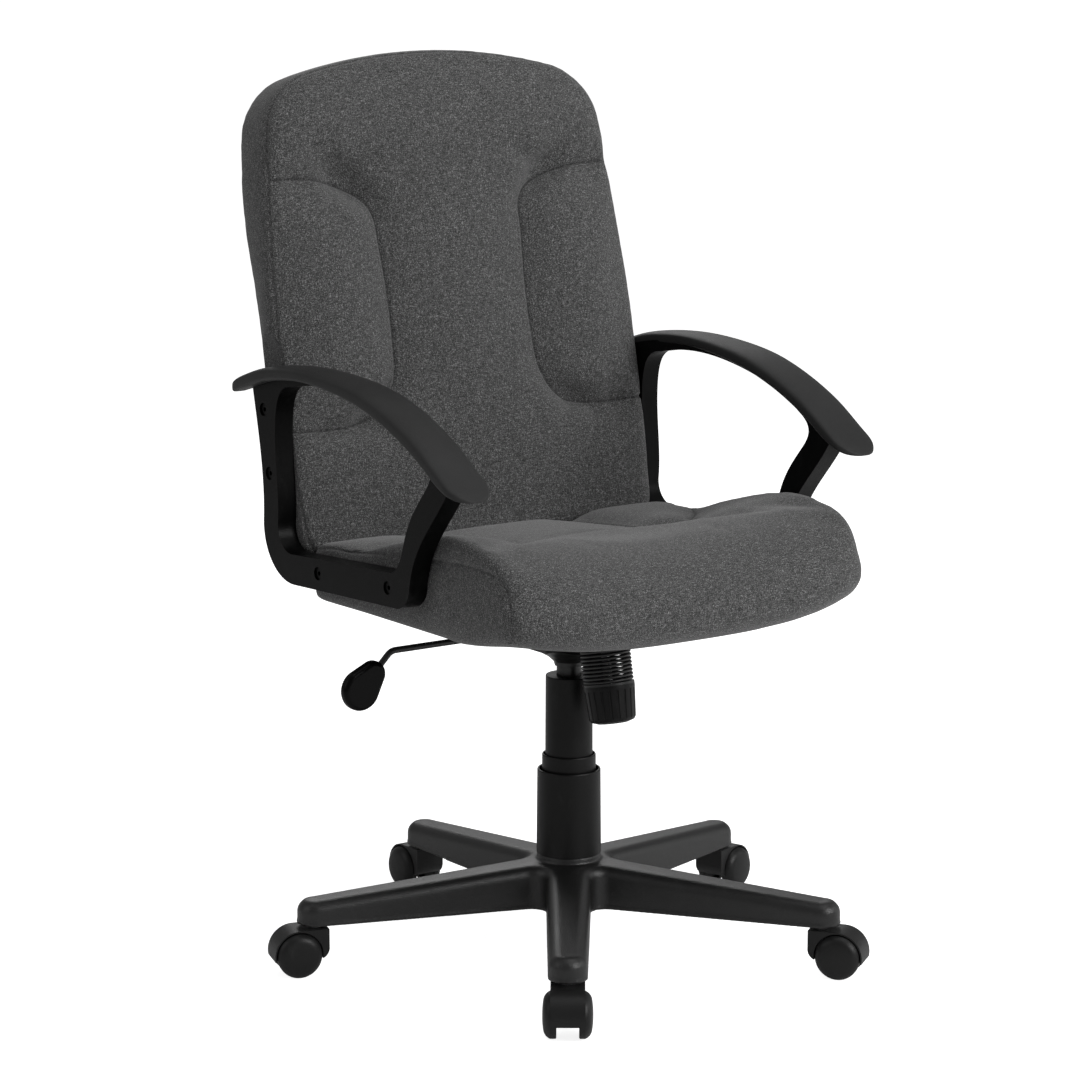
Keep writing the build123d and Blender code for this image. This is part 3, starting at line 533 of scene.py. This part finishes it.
def rounded(corners, count):
    """Closed outline from corners and their radii, resampled evenly."""
    out = []
    n = len(corners)
    for i in range(n):
        p = np.array(corners[i][0])
        r = corners[i][1]
        a = np.array(corners[i - 1][0]) - p
        b = np.array(corners[(i + 1) % n][0]) - p
        a /= np.linalg.norm(a)
        b /= np.linalg.norm(b)
        half = math.acos(np.clip(a @ b, -1, 1)) / 2
        reach = r / math.tan(half)
        middle = (a + b) / np.linalg.norm(a + b)
        centre = p + middle * r / math.sin(half)
        start, end = p + a * reach - centre, p + b * reach - centre
        turn = math.atan2(start[0] * end[1] - start[1] * end[0], start @ end)
        base = math.atan2(start[1], start[0])
        for t in np.linspace(0, 1, 9):
            out.append(centre + r * np.array([math.cos(base + turn * t), math.sin(base + turn * t)]))
    out = np.array(out + [out[0]])
    run = np.concatenate([[0], np.cumsum(np.linalg.norm(np.diff(out, axis=0), axis=1))])
    steps = np.linspace(0, run[-1], count, endpoint=False)
    return np.stack([np.interp(steps, run, out[:, k]) for k in range(2)], axis=1)


def seat_shape(x, y, z):
    """Where a place of the plain section goes: round plan in front, arched lower edge, dished top."""
    share = np.clip(np.abs(x) / SEAT_HALF, 0, 1)
    front = np.clip((-110 - y) / 140, 0, 1)
    y = y + front * (4 * share ** 2 + 18 * share ** 7)
    under = rise(-y, 120, 225) * rise(470 - z, 0, 60)
    z = z + under * (27 * share ** 3 - 6.5)
    top = rise(z, 452, 472)
    bolster = 27 * (np.abs(x) / 225) ** 2.2 * bump(y + 110, 120)
    dish = -11 * bump(x, 125) * bump(y + 70, 120)
    rear = 5 * rise(np.abs(x), 95, 150) * rise(y, 20, 90)
    z = z + top * (bolster + dish + rear)
    return x, y, z


def seat_rings():
    """Rings of the unstuffed seat, from one side to the other."""
    profile = rounded(SEAT_SIDE, 150)
    from_centre = profile - np.array(SEAT_CENTRE)
    span = np.abs(from_centre)
    places = [((-1 + k / 20) * (SEAT_START - SEAT_RIM), 0.0) for k in range(41)]
    for angle in (18, 36, 54, 72, 84):
        a = math.radians(angle)
        x = SEAT_START - SEAT_RIM + SEAT_RIM * math.sin(a)
        inset = SEAT_RIM * (1 - math.cos(a))
        places.insert(0, (-x, inset))
        places.append((x, inset))
    rings = []
    for x, inset in places:
        inset = inset * (1 - 0.65 * rise(profile[:, :1], 60, 150))
        pull = np.sign(from_centre) * np.minimum(span, inset)
        section = profile - pull * np.minimum(1, span / 25)
        shaped = seat_shape(np.full(len(section), x), section[:, 0], section[:, 1])
        rings.append(np.stack(shaped, axis=1) * MM)
    for shrink in (0.9, 0.6, 0.3):
        near, far = rings[0], rings[-1]
        rings.insert(0, near.mean(0) + (near - near.mean(0)) * shrink)
        rings.append(far.mean(0) + (far - far.mean(0)) * shrink)
    return rings


def seat_seams(obj):
    """The seams over the top of each half, then those along the two sides."""
    tree = BVHTree.FromObject(obj, bpy.context.evaluated_depsgraph_get())
    lines = []
    for side in (-1, 1):
        line = []
        for x, y in smooth_line([(side * min(x, SEAT_HALF - 5), y) for x, y in SEAT_SEAM], SEAM_STEP):
            hit = tree.ray_cast(Vector((x, y, 560)) * MM, Vector((0, 0, -1)))[0]
            if hit is not None:
                line.append(tuple(hit))
        lines.append(np.array(line))
    flat = smooth_line(SIDE_SEAM, SEAM_STEP)
    for side in (-1, 1):
        line = np.stack([np.full(len(flat), side * (SEAT_START - 2.0)), flat[:, 0], flat[:, 1]], axis=1)
        lines.append(on_surface(obj, line * MM))
    return lines


def dimples(rest):
    """How much of each dimple's depth a point takes."""
    share = np.zeros(len(rest))
    for side in (-1, 1):
        gap = np.hypot(rest[:, 0] - side * DIMPLE[0] * MM, rest[:, 1] - DIMPLE[1] * MM)
        share += bump(gap, DIMPLE_REACH) * (rest[:, 2] > SEAT_TOP_ONLY)
    return share


def seat_cushion():
    obj = evened(mesh_object("seat_padding", *rings_to_mesh(seat_rings())), VOXEL, 6)
    keep_rest(obj.data)
    rest = coords(obj.data)
    lines = seat_seams(obj)
    pad_gap, edge_gap = seam_gaps(rest, lines)
    pinch = dimples(rest)
    drawn_in = 8.0 * MM * bump(pad_gap, 20 * MM) + 1.2 * MM * bump(edge_gap, 6 * MM)
    points = rest - normals(obj.data) * drawn_in[:, None]
    points[:, 2] -= DIMPLE_BEFORE * pinch
    set_coords(obj.data, points)
    held = (pad_gap < SEAM_HOLD) | (edge_gap < SEAM_HOLD)
    held |= rest[:, 2] < 0.4035
    held |= (rest[:, 1] > 0.150) & (rest[:, 2] < SEAT_TOP_ONLY)
    inflate(obj, held, SEAT_CAP)
    calm(obj, np.minimum(pad_gap, edge_gap))
    points = coords(obj.data)
    points[:, 2] -= DIMPLE_AFTER * pinch
    set_coords(obj.data, points)
    refine(obj, lines)
    sew(obj, lines, [2.0, 2.0, 1.3, 1.3], [0.6, 0.6, 0.25, 0.25], 12)
    points = coords(obj.data)
    limit = ARM_INNER_X * MM
    points[:, 0] = np.clip(points[:, 0], -limit, limit)
    on_board = points[:, 1] > -0.172
    points[on_board, 2] = np.maximum(points[on_board, 2], 0.4005)
    set_coords(obj.data, points)
    drop_rest(obj.data)
    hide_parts("seat_cushion")
    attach(obj, "seat")
    return obj


# ---------------------------------------------------------------- arm pads (mm)
PAD_TOP = [  # (y, z)
    (-197, 570), (-176, 584), (-118, 621), (-49, 649), (14, 663), (100, 669), (178, 664), (235, 650),
    (278, 634),
]
PAD_UNDER = [
    (-197, 564), (-160, 576), (-118, 601), (-60, 627), (10, 646), (100, 655), (180, 648), (235, 634),
    (278, 623),
]
PAD_IN = [(-174, 231), (-20, 232), (100, 238), (180, 242.5), (258, 251)]     # (y, x)
PAD_OUT = [(-174, 284), (-80, 284.5), (60, 284.5), (180, 282), (258, 275)]
PAD_ENDS = (-197.5, 271.5)
NOSE_FROM, NOSE_LONG = -172, 25.6        # where the pad starts to round off in front
TAIL_FROM, TAIL_LONG = 252, 19.6         # and behind
PAD_SECTION = 48                         # points round the pad


def through(table, at):
    """Smooth interpolation of a short table."""
    line = smooth_line(table, 1.0)
    return np.interp(at, line[:, 0], line[:, 1])


def arm_pad(side, word):
    front, rear = PAD_ENDS
    t = np.linspace(0, 1, 96)
    along = front + (rear - front) * (1 - np.cos(math.pi * t)) / 2
    along[0] += 0.3
    along[-1] -= 0.3
    inner, outer = through(PAD_IN, along), through(PAD_OUT, along)
    nose = np.clip((NOSE_FROM - along) / NOSE_LONG, 0, 1)
    tail = np.clip((along - TAIL_FROM) / TAIL_LONG, 0, 1)
    taper = np.sqrt(np.clip(1 - np.maximum(nose, tail) ** 2, 0.0, 1))
    centre = (inner + outer) / 2
    width = (outer - inner) / 2 * taper
    top = through(PAD_TOP, along) + 0.6
    under = through(PAD_UNDER, along)
    body = (top - under) * np.maximum(0.12, np.minimum(1, taper * 1.25))
    level = (top + under) / 2 - 1.0 * np.maximum(nose, tail)
    rings = []
    angle = np.linspace(0, 2 * math.pi, PAD_SECTION, endpoint=False)
    cosine, sine = np.cos(angle), np.sin(angle)
    across = np.sign(cosine) * np.abs(cosine) ** 0.42
    high = np.sign(sine) * np.abs(sine) ** 0.5
    crown = np.where(sine > 0, -0.22 * across ** 2, 0.0)
    for y, c, w, h, m in zip(along, centre, width, body / 2, level):
        x = c + w * across
        z = m + h * (high + crown * np.abs(high))
        rings.append(np.stack([side * x, np.full(PAD_SECTION, y), z], axis=1) * MM)
    points, faces = rings_to_mesh(rings)
    if side < 0:
        faces = [f[::-1] for f in faces]
    obj = mesh_object(f"arm_pad_skin_{word}", points, faces)
    subdivide(obj)
    baked(obj)
    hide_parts(f"arm_pad_{word}")
    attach(obj, "seat")
    return obj


# ---------------------------------------------------------------- base (mm)
BOSS_REACH = 14.6                        # radius that takes in a leg tip's raised boss
BOSS_ABOVE = 70                          # only points higher than this are pressed down, at the boss


def leg_surface(radial, across):
    """Height of a leg's rounded upper side at a place along and across it."""
    beyond = np.clip(radial - STEM_CIRCLE_R, 0, None)
    away = np.hypot(beyond, across)
    over = np.clip(away - (LEG_TIP_HALF - LEG_EDGE_R), 0, LEG_EDGE_R)
    share = (np.minimum(radial, STEM_CIRCLE_R) - HUB_R) / (STEM_CIRCLE_R - HUB_R)
    ridge = LEG_ROOT_TOP + share * (LEG_TIP_TOP - LEG_ROOT_TOP)
    return ridge - LEG_EDGE_R + np.sqrt(LEG_EDGE_R ** 2 - over ** 2)


def base_skin():
    """The star with its leg tips and edges run smoothly into one another, as they come from the mould."""
    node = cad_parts["base_star"]
    mesh = node.data.copy()
    mesh.transform(node.matrix_world)
    obj = link(bpy.data.objects.new("base_moulding", mesh))
    points = coords(mesh) / MM
    for index in range(LEG_COUNT):
        a = math.radians(LEG_FIRST_DEG + 360 / LEG_COUNT * index)
        radial = points[:, 0] * math.cos(a) + points[:, 1] * math.sin(a)
        across = points[:, 1] * math.cos(a) - points[:, 0] * math.sin(a)
        near_stem = np.hypot(radial - STEM_CIRCLE_R, across) < BOSS_REACH
        tip = near_stem & (points[:, 2] > BOSS_ABOVE)
        points[tip, 2] = np.minimum(points[tip, 2], leg_surface(radial, across)[tip])
    set_coords(mesh, points * MM)
    evened(obj, 1.5 * MM, 5)
    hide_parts("base_star")
    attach(obj, "base")
    return obj


# ---------------------------------------------------------------- tension spring
def on_bolt(distance, radius=0.0, angle=0.0):
    """A point round the leaning bolt (mm to metres)."""
    up = Vector((0, math.sin(SPRING_LEAN), math.cos(SPRING_LEAN)))
    side = Vector((1, 0, 0))
    out = side * math.cos(angle) + up.cross(side) * math.sin(angle)
    return (Vector(KNOB_FOOT) + up * distance + out * radius) * MM


def tension_spring():
    """Wire coil, with a closed stretch flat against the cup below and the tray above."""
    low, high = SPRING_FOOT + WIRE_R, SPRING_TOP - WIRE_R
    closed, steps = 0.6, 48              # turns closed at each end, and points in a turn
    curve = bpy.data.curves.new("spring_wire", "CURVE")
    curve.dimensions = "3D"
    spline = curve.splines.new("NURBS")
    total = int((SPRING_TURNS + 2 * closed) * steps)
    spline.points.add(total - 1)
    for i in range(total):
        share = np.clip((i / steps - closed) / SPRING_TURNS, 0, 1)
        p = on_bolt(low + (high - low) * share, SPRING_R, 2 * math.pi * i / steps)
        spline.points[i].co = (*p, 1)
    spline.order_u = 4
    spline.use_endpoint_u = True
    curve.bevel_depth = WIRE_R * MM
    curve.bevel_resolution = 3
    curve.use_fill_caps = True
    holder = link(bpy.data.objects.new("spring_holder", curve))
    mesh = evaluated_mesh(holder)
    bpy.data.objects.remove(holder)
    obj = link(bpy.data.objects.new("spring_coil", mesh))
    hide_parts("tension_spring")
    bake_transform(obj)
    return obj


# ---------------------------------------------------------------- materials
class Nodes:
    """Short way to build one material's node tree."""

    def __init__(self, name, **settings):
        self.material = bpy.data.materials.new(name)
        self.material.use_nodes = True
        self.tree = self.material.node_tree
        self.shader = self.tree.nodes["Principled BSDF"]
        for key, value in settings.items():
            self.shader.inputs[key.replace("_", " ")].default_value = value

    def add(self, kind, **values):
        node = self.tree.nodes.new("ShaderNode" + kind)
        for key, value in values.items():
            setattr(node, key, value)
        return node

    def wire(self, source, target):
        self.tree.links.new(source, target)

    def place(self, scale=(1, 1, 1), turn=(0, 0, 0)):
        """Object coordinates through a mapping."""
        coordinates = self.add("TexCoord")
        mapping = self.add("Mapping")
        mapping.inputs["Scale"].default_value = scale
        mapping.inputs["Rotation"].default_value = turn
        self.wire(coordinates.outputs["Object"], mapping.inputs["Vector"])
        return mapping.outputs["Vector"]

    def noise(self, where, scale, detail=2.0, rough=0.5, distortion=0.0):
        node = self.add("TexNoise")
        node.inputs["Scale"].default_value = scale
        node.inputs["Detail"].default_value = detail
        node.inputs["Roughness"].default_value = rough
        node.inputs["Distortion"].default_value = distortion
        self.wire(where, node.inputs["Vector"])
        return node.outputs["Fac"]

    def ramp(self, source, stops):
        node = self.add("ValToRGB")
        ramp = node.color_ramp
        while len(ramp.elements) < len(stops):
            ramp.elements.new(0.5)
        for element, (at, tone) in zip(ramp.elements, stops):
            element.position = at
            element.color = (*tone, 1) if isinstance(tone, tuple) else (tone, tone, tone, 1)
        self.wire(source, node.inputs["Fac"])
        return node.outputs["Color"]

    def math(self, operation, a, b):
        node = self.add("Math", operation=operation)
        for socket, value in zip(node.inputs, (a, b)):
            if isinstance(value, (int, float)):
                socket.default_value = value
            else:
                self.wire(value, socket)
        return node.outputs["Value"]

    def mix(self, factor, a, b, blend="MIX"):
        node = self.add("Mix", data_type="RGBA", blend_type=blend)
        for socket, value in ((node.inputs[0], factor), (node.inputs[6], a), (node.inputs[7], b)):
            if isinstance(value, (int, float)):
                socket.default_value = value
            elif isinstance(value, tuple):
                socket.default_value = (*value, 1)
            else:
                self.wire(value, socket)
        return node.outputs[2]

    def bump(self, height, strength, distance, base=None):
        node = self.add("Bump")
        node.inputs["Strength"].default_value = strength
        node.inputs["Distance"].default_value = distance
        self.wire(height, node.inputs["Height"])
        if base is not None:
            self.wire(base, node.inputs["Normal"])
        return node.outputs["Normal"]

    def colour(self, source):
        self.wire(source, self.shader.inputs["Base Color"])

    def roughness(self, source):
        self.wire(source, self.shader.inputs["Roughness"])

    def normal(self, source):
        self.wire(source, self.shader.inputs["Normal"])


def fabric():
    """Charcoal heather twill: mixed light and dark yarns on fine diagonal ribs, with painted shade in its
    seam creases.
    """
    n = Nodes("grey_fabric_weave", Roughness=0.95, Sheen_Weight=0.25, Sheen_Roughness=0.5,
              Specular_IOR_Level=0.15)
    plain = n.place()
    fleck = n.noise(plain, 1050, 2.0, 0.6)
    yarn = n.noise(n.place(scale=(1, 1, 0.2)), 900, 2.0, 0.55)
    cross = n.noise(n.place(scale=(0.2, 1, 1)), 900, 2.0, 0.55)
    cloud = n.noise(plain, 9, 3.0, 0.5)
    streak = n.noise(n.place(scale=(1, 1, 0.05)), 150, 2.0, 0.6)
    twill = n.add("TexWave", wave_type="BANDS", bands_direction="DIAGONAL", wave_profile="SIN")
    twill.inputs["Scale"].default_value = 300
    twill.inputs["Distortion"].default_value = 1.6
    twill.inputs["Detail"].default_value = 1.0
    twill.inputs["Detail Scale"].default_value = 3.0
    n.wire(plain, twill.inputs["Vector"])
    yarns = n.math("ADD", n.math("MULTIPLY", yarn, 0.5), n.math("MULTIPLY", cross, 0.5))
    tone = n.math("ADD", n.math("MULTIPLY", fleck, 0.55), n.math("MULTIPLY", yarns, 0.45))
    colour = n.ramp(tone, [(0.34, 0.008), (0.46, 0.040), (0.54, 0.092), (0.65, 0.310)])
    colour = n.mix(0.45, colour, n.ramp(twill.outputs["Fac"], [(0.0, 0.30), (1.0, 0.68)]), "OVERLAY")
    colour = n.mix(0.22, colour, n.ramp(streak, [(0.25, 0.36), (0.75, 0.66)]), "OVERLAY")
    colour = n.mix(0.10, colour, n.ramp(cloud, [(0.2, 0.38), (0.8, 0.62)]), "OVERLAY")
    # Painted shade: the cover is darkened along its seam creases by the seam attribute that sew() sets
    seam = n.add("Attribute", attribute_name="seam")
    shade = n.ramp(seam.outputs["Fac"], [(0.0, 0.30), (0.35, 0.86), (0.8, 1.0)])
    colour = n.mix(1.0, colour, shade, "MULTIPLY")
    n.colour(colour)
    ribs = n.bump(twill.outputs["Fac"], 0.30, 0.0004)
    n.normal(n.bump(tone, 0.55, 0.0007, ribs))
    return n.material


def plastic(name, tone, rough, grain, grain_scale, scuff=0.06, specular=0.35, spread=0.08):
    """Moulded black plastic: fine grain, uneven gloss, faint scuffs."""
    n = Nodes(name, Specular_IOR_Level=specular)
    plain = n.place()
    cloud = n.noise(plain, 14, 3.0, 0.55)
    rubbed = n.noise(n.place(scale=(1, 1, 0.35)), 60, 4.0, 0.7, 0.6)
    scuffs = n.ramp(rubbed, [(0.56, 0.0), (0.80, scuff)])
    mottle = n.ramp(cloud, [(0.3, tone * 0.85), (0.7, tone * 1.15)])
    n.colour(n.mix(scuffs, mottle, (0.10, 0.10, 0.10)))
    gloss = n.math("ADD", n.math("MULTIPLY", cloud, spread), n.math("MULTIPLY", rubbed, spread))
    n.roughness(n.math("ADD", gloss, rough - spread))
    cells = n.add("TexVoronoi", feature="F1")
    cells.inputs["Scale"].default_value = grain_scale
    n.wire(plain, cells.inputs["Vector"])
    fine = n.noise(plain, grain_scale * 1.7, 2.0, 0.6)
    n.normal(n.bump(n.math("ADD", cells.outputs["Distance"], fine), grain, 0.0003))
    return n.material


def metal(name, tone, rough, metallic, stretch):
    """Plated or coated steel with drawn lines."""
    n = Nodes(name, Metallic=metallic)
    lines = n.noise(n.place(scale=stretch), 500, 3.0, 0.6)
    patch = n.noise(n.place(), 30, 3.0, 0.5)
    n.colour(n.ramp(patch, [(0.3, tone * 0.85), (0.7, tone * 1.1)]))
    n.roughness(n.math("ADD", n.math("MULTIPLY", lines, 0.18), rough - 0.09))
    n.normal(n.bump(lines, 0.12, 0.0002))
    return n.material


def wood():
    """Birch plywood with its grain along the board."""
    n = Nodes("plywood_grain", Roughness=0.7)
    grain = n.noise(n.place(scale=(1, 0.06, 1)), 120, 4.0, 0.65, 0.4)
    rings = n.noise(n.place(scale=(1, 0.15, 1)), 18, 3.0, 0.5, 1.2)
    mixed = n.math("ADD", n.math("MULTIPLY", grain, 0.5), n.math("MULTIPLY", rings, 0.5))
    dark, middle, light = (0.30, 0.19, 0.10), (0.52, 0.37, 0.22), (0.62, 0.47, 0.30)
    n.colour(n.ramp(mixed, [(0.35, dark), (0.55, middle), (0.7, light)]))
    n.normal(n.bump(grain, 0.2, 0.0004))
    return n.material


def dust_cloth():
    """Thin black felted cloth."""
    n = Nodes("dust_cloth_fibres", Roughness=0.95, Sheen_Weight=0.1)
    fibres = n.noise(n.place(), 900, 4.0, 0.7, 1.0)
    n.colour(n.ramp(fibres, [(0.35, 0.008), (0.65, 0.035)]))
    n.normal(n.bump(fibres, 0.4, 0.0004))
    return n.material


def dress_nodes(cloth_skin, wood_skin, star_skin):
    """Better finishes in the slots of the CAD nodes."""
    sleeve = plastic("sleeve_plastic", 0.0035, 0.42, 0.18, 1300, specular=0.22)
    frame_skin = plastic("arm_frame_nylon", 0.0014, 0.34, 0.22, 1100, specular=0.10)
    caster = plastic("caster_nylon", 0.008, 0.42, 0.25, 1000, specular=0.28)
    wheel = plastic("caster_wheel_nylon", 0.008, 0.40, 0.22, 1000, scuff=0.10, specular=0.28)
    knob = plastic("knob_nylon", 0.003, 0.36, 0.25, 1000, specular=0.2)
    gloss = plastic("paddle_gloss", 0.0015, 0.24, 0.05, 700, scuff=0.02, spread=0.05, specular=0.10)
    steel = metal("coated_steel", 0.008, 0.38, 0.0, (1, 1, 1))
    bright = metal("zinc_steel", 0.55, 0.35, 1.0, (0.2, 1, 1))
    acetal = plastic("acetal", 0.55, 0.5, 0.1, 900)
    kinds = (("hood", caster), ("wheel", wheel), ("column_cover", sleeve), ("arm_frame", frame_skin))
    named = {
        "base_star": star_skin,
        "arm_bolts": frame_skin,
        "tension_knob": knob,
        "lever_paddle": gloss,
        "seat_underside_cover": cloth_skin,
        "gas_lift_guide_bush": acetal,
        "lever_pivot_bush": acetal,
        "gas_lift_outer_tube": steel,
        "gas_lift_cylinder": steel,
        "mechanism_housing": steel,
        "seat_plate": steel,
        "lever_rod": steel,
        "tension_washer": steel,
        "seat_board": wood_skin,
        "back_board": wood_skin,
        "seat_side_rails": wood_skin,
    }
    for name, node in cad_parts.items():
        of_its_kind = next((skin for word, skin in kinds if word in name), bright)
        for place in node.material_slots:
            place.material = named.get(name, of_its_kind)


# ---------------------------------------------------------------- stage
FLOOR_HALF = 14.0
WORLD_LIGHT, WORLD_SEEN = 0.25, 1.05     # how bright the studio shines, and how bright it looks
LIGHTS = [  # name, place, aim, size, power
    ("overhead", (0.2, -0.6, 3.2), (0, 0, 0.6), 2.4, 22),
    ("key", (1.2, -3.4, 2.2), (0, 0, 0.6), 1.8, 84),
    ("fill", (3.0, -1.2, 1.2), (0, 0, 0.5), 2.0, 12),
    ("left", (-3.0, 0.8, 2.0), (0, 0, 0.8), 2.0, 12),
    ("rim", (1.6, 2.8, 2.2), (0, 0, 0.6), 1.8, 20),
]
LENS, SENSOR = 119.8, 36.0
EYE = (-2.2879, -3.1659, 1.2044)
EYE_TURN = (79.34, 0, -35.38)            # degrees about X, Y and Z


def pale_floor():
    """Pale floor that looks as white as the studio behind it."""
    h = FLOOR_HALF
    floor = mesh_object("floor", [(-h, -h, 0), (h, -h, 0), (h, h, 0), (-h, h, 0)], [(0, 1, 2, 3)])
    n = Nodes("floor_white", Roughness=0.9, Specular_IOR_Level=0.0)
    n.colour(n.ramp(n.noise(n.place(), 3, 2.0), [(0.3, 0.86), (0.7, 0.88)]))
    seen = n.add("LightPath")
    n.shader.inputs["Emission Color"].default_value = (1, 1, 1, 1)
    n.wire(n.math("MULTIPLY", seen.outputs["Is Camera Ray"], 0.85), n.shader.inputs["Emission Strength"])
    floor.data.materials.append(n.material)


def studio():
    """White surroundings that shine less on the object than they look."""
    world = bpy.data.worlds.new("studio")
    SCENE.world = world
    world.use_nodes = True
    tree = world.node_tree
    tree.nodes.clear()
    path = tree.nodes.new("ShaderNodeLightPath")
    mixed = tree.nodes.new("ShaderNodeMixShader")
    out = tree.nodes.new("ShaderNodeOutputWorld")
    tree.links.new(path.outputs["Is Camera Ray"], mixed.inputs[0])
    for socket, strength in ((1, WORLD_LIGHT), (2, WORLD_SEEN)):
        white = tree.nodes.new("ShaderNodeBackground")
        white.inputs["Color"].default_value = (1, 1, 1, 1)
        white.inputs["Strength"].default_value = strength
        tree.links.new(white.outputs[0], mixed.inputs[socket])
    tree.links.new(mixed.outputs[0], out.inputs["Surface"])


def lights():
    for name, place, aim, size, power in LIGHTS:
        data = bpy.data.lights.new(name, "AREA")
        data.shape = "SQUARE"
        data.size = size
        data.energy = power
        lamp = link(bpy.data.objects.new(name, data))
        lamp.location = place
        lamp.rotation_euler = (Vector(place) - Vector(aim)).to_track_quat("Z", "Y").to_euler()


def camera():
    data = bpy.data.cameras.new("camera")
    data.lens = LENS
    data.sensor_width = SENSOR
    data.clip_end = 60
    eye = link(bpy.data.objects.new("camera", data))
    eye.location = EYE
    eye.rotation_euler = [math.radians(turn) for turn in EYE_TURN]
    SCENE.camera = eye


def paint(obj, material):
    obj.data.materials.clear()
    obj.data.materials.append(material)


# ---------------------------------------------------------------- the scene
camera()
SCENE.view_settings.view_transform = "Standard"
pale_floor()
studio()
lights()
felt = dust_cloth()
plywood = wood()
base_finish = plastic("base_nylon", 0.009, 0.36, 0.55, 700, specular=0.5)
dress_nodes(felt, plywood, base_finish)
upholstery = fabric()
pad_skin = plastic("arm_pad_skin", 0.022, 0.55, 0.25, 1500, scuff=0.03, specular=0.26)
coil_skin = metal("spring_coat", 0.008, 0.34, 0.0, (1, 1, 1))
paint(back_cushion(), upholstery)
paint(seat_cushion(), upholstery)
for side, word in ((-1, "right"), (1, "left")):
    paint(arm_pad(side, word), pad_skin)
paint(tension_spring(), coil_skin)
paint(base_skin(), base_finish)
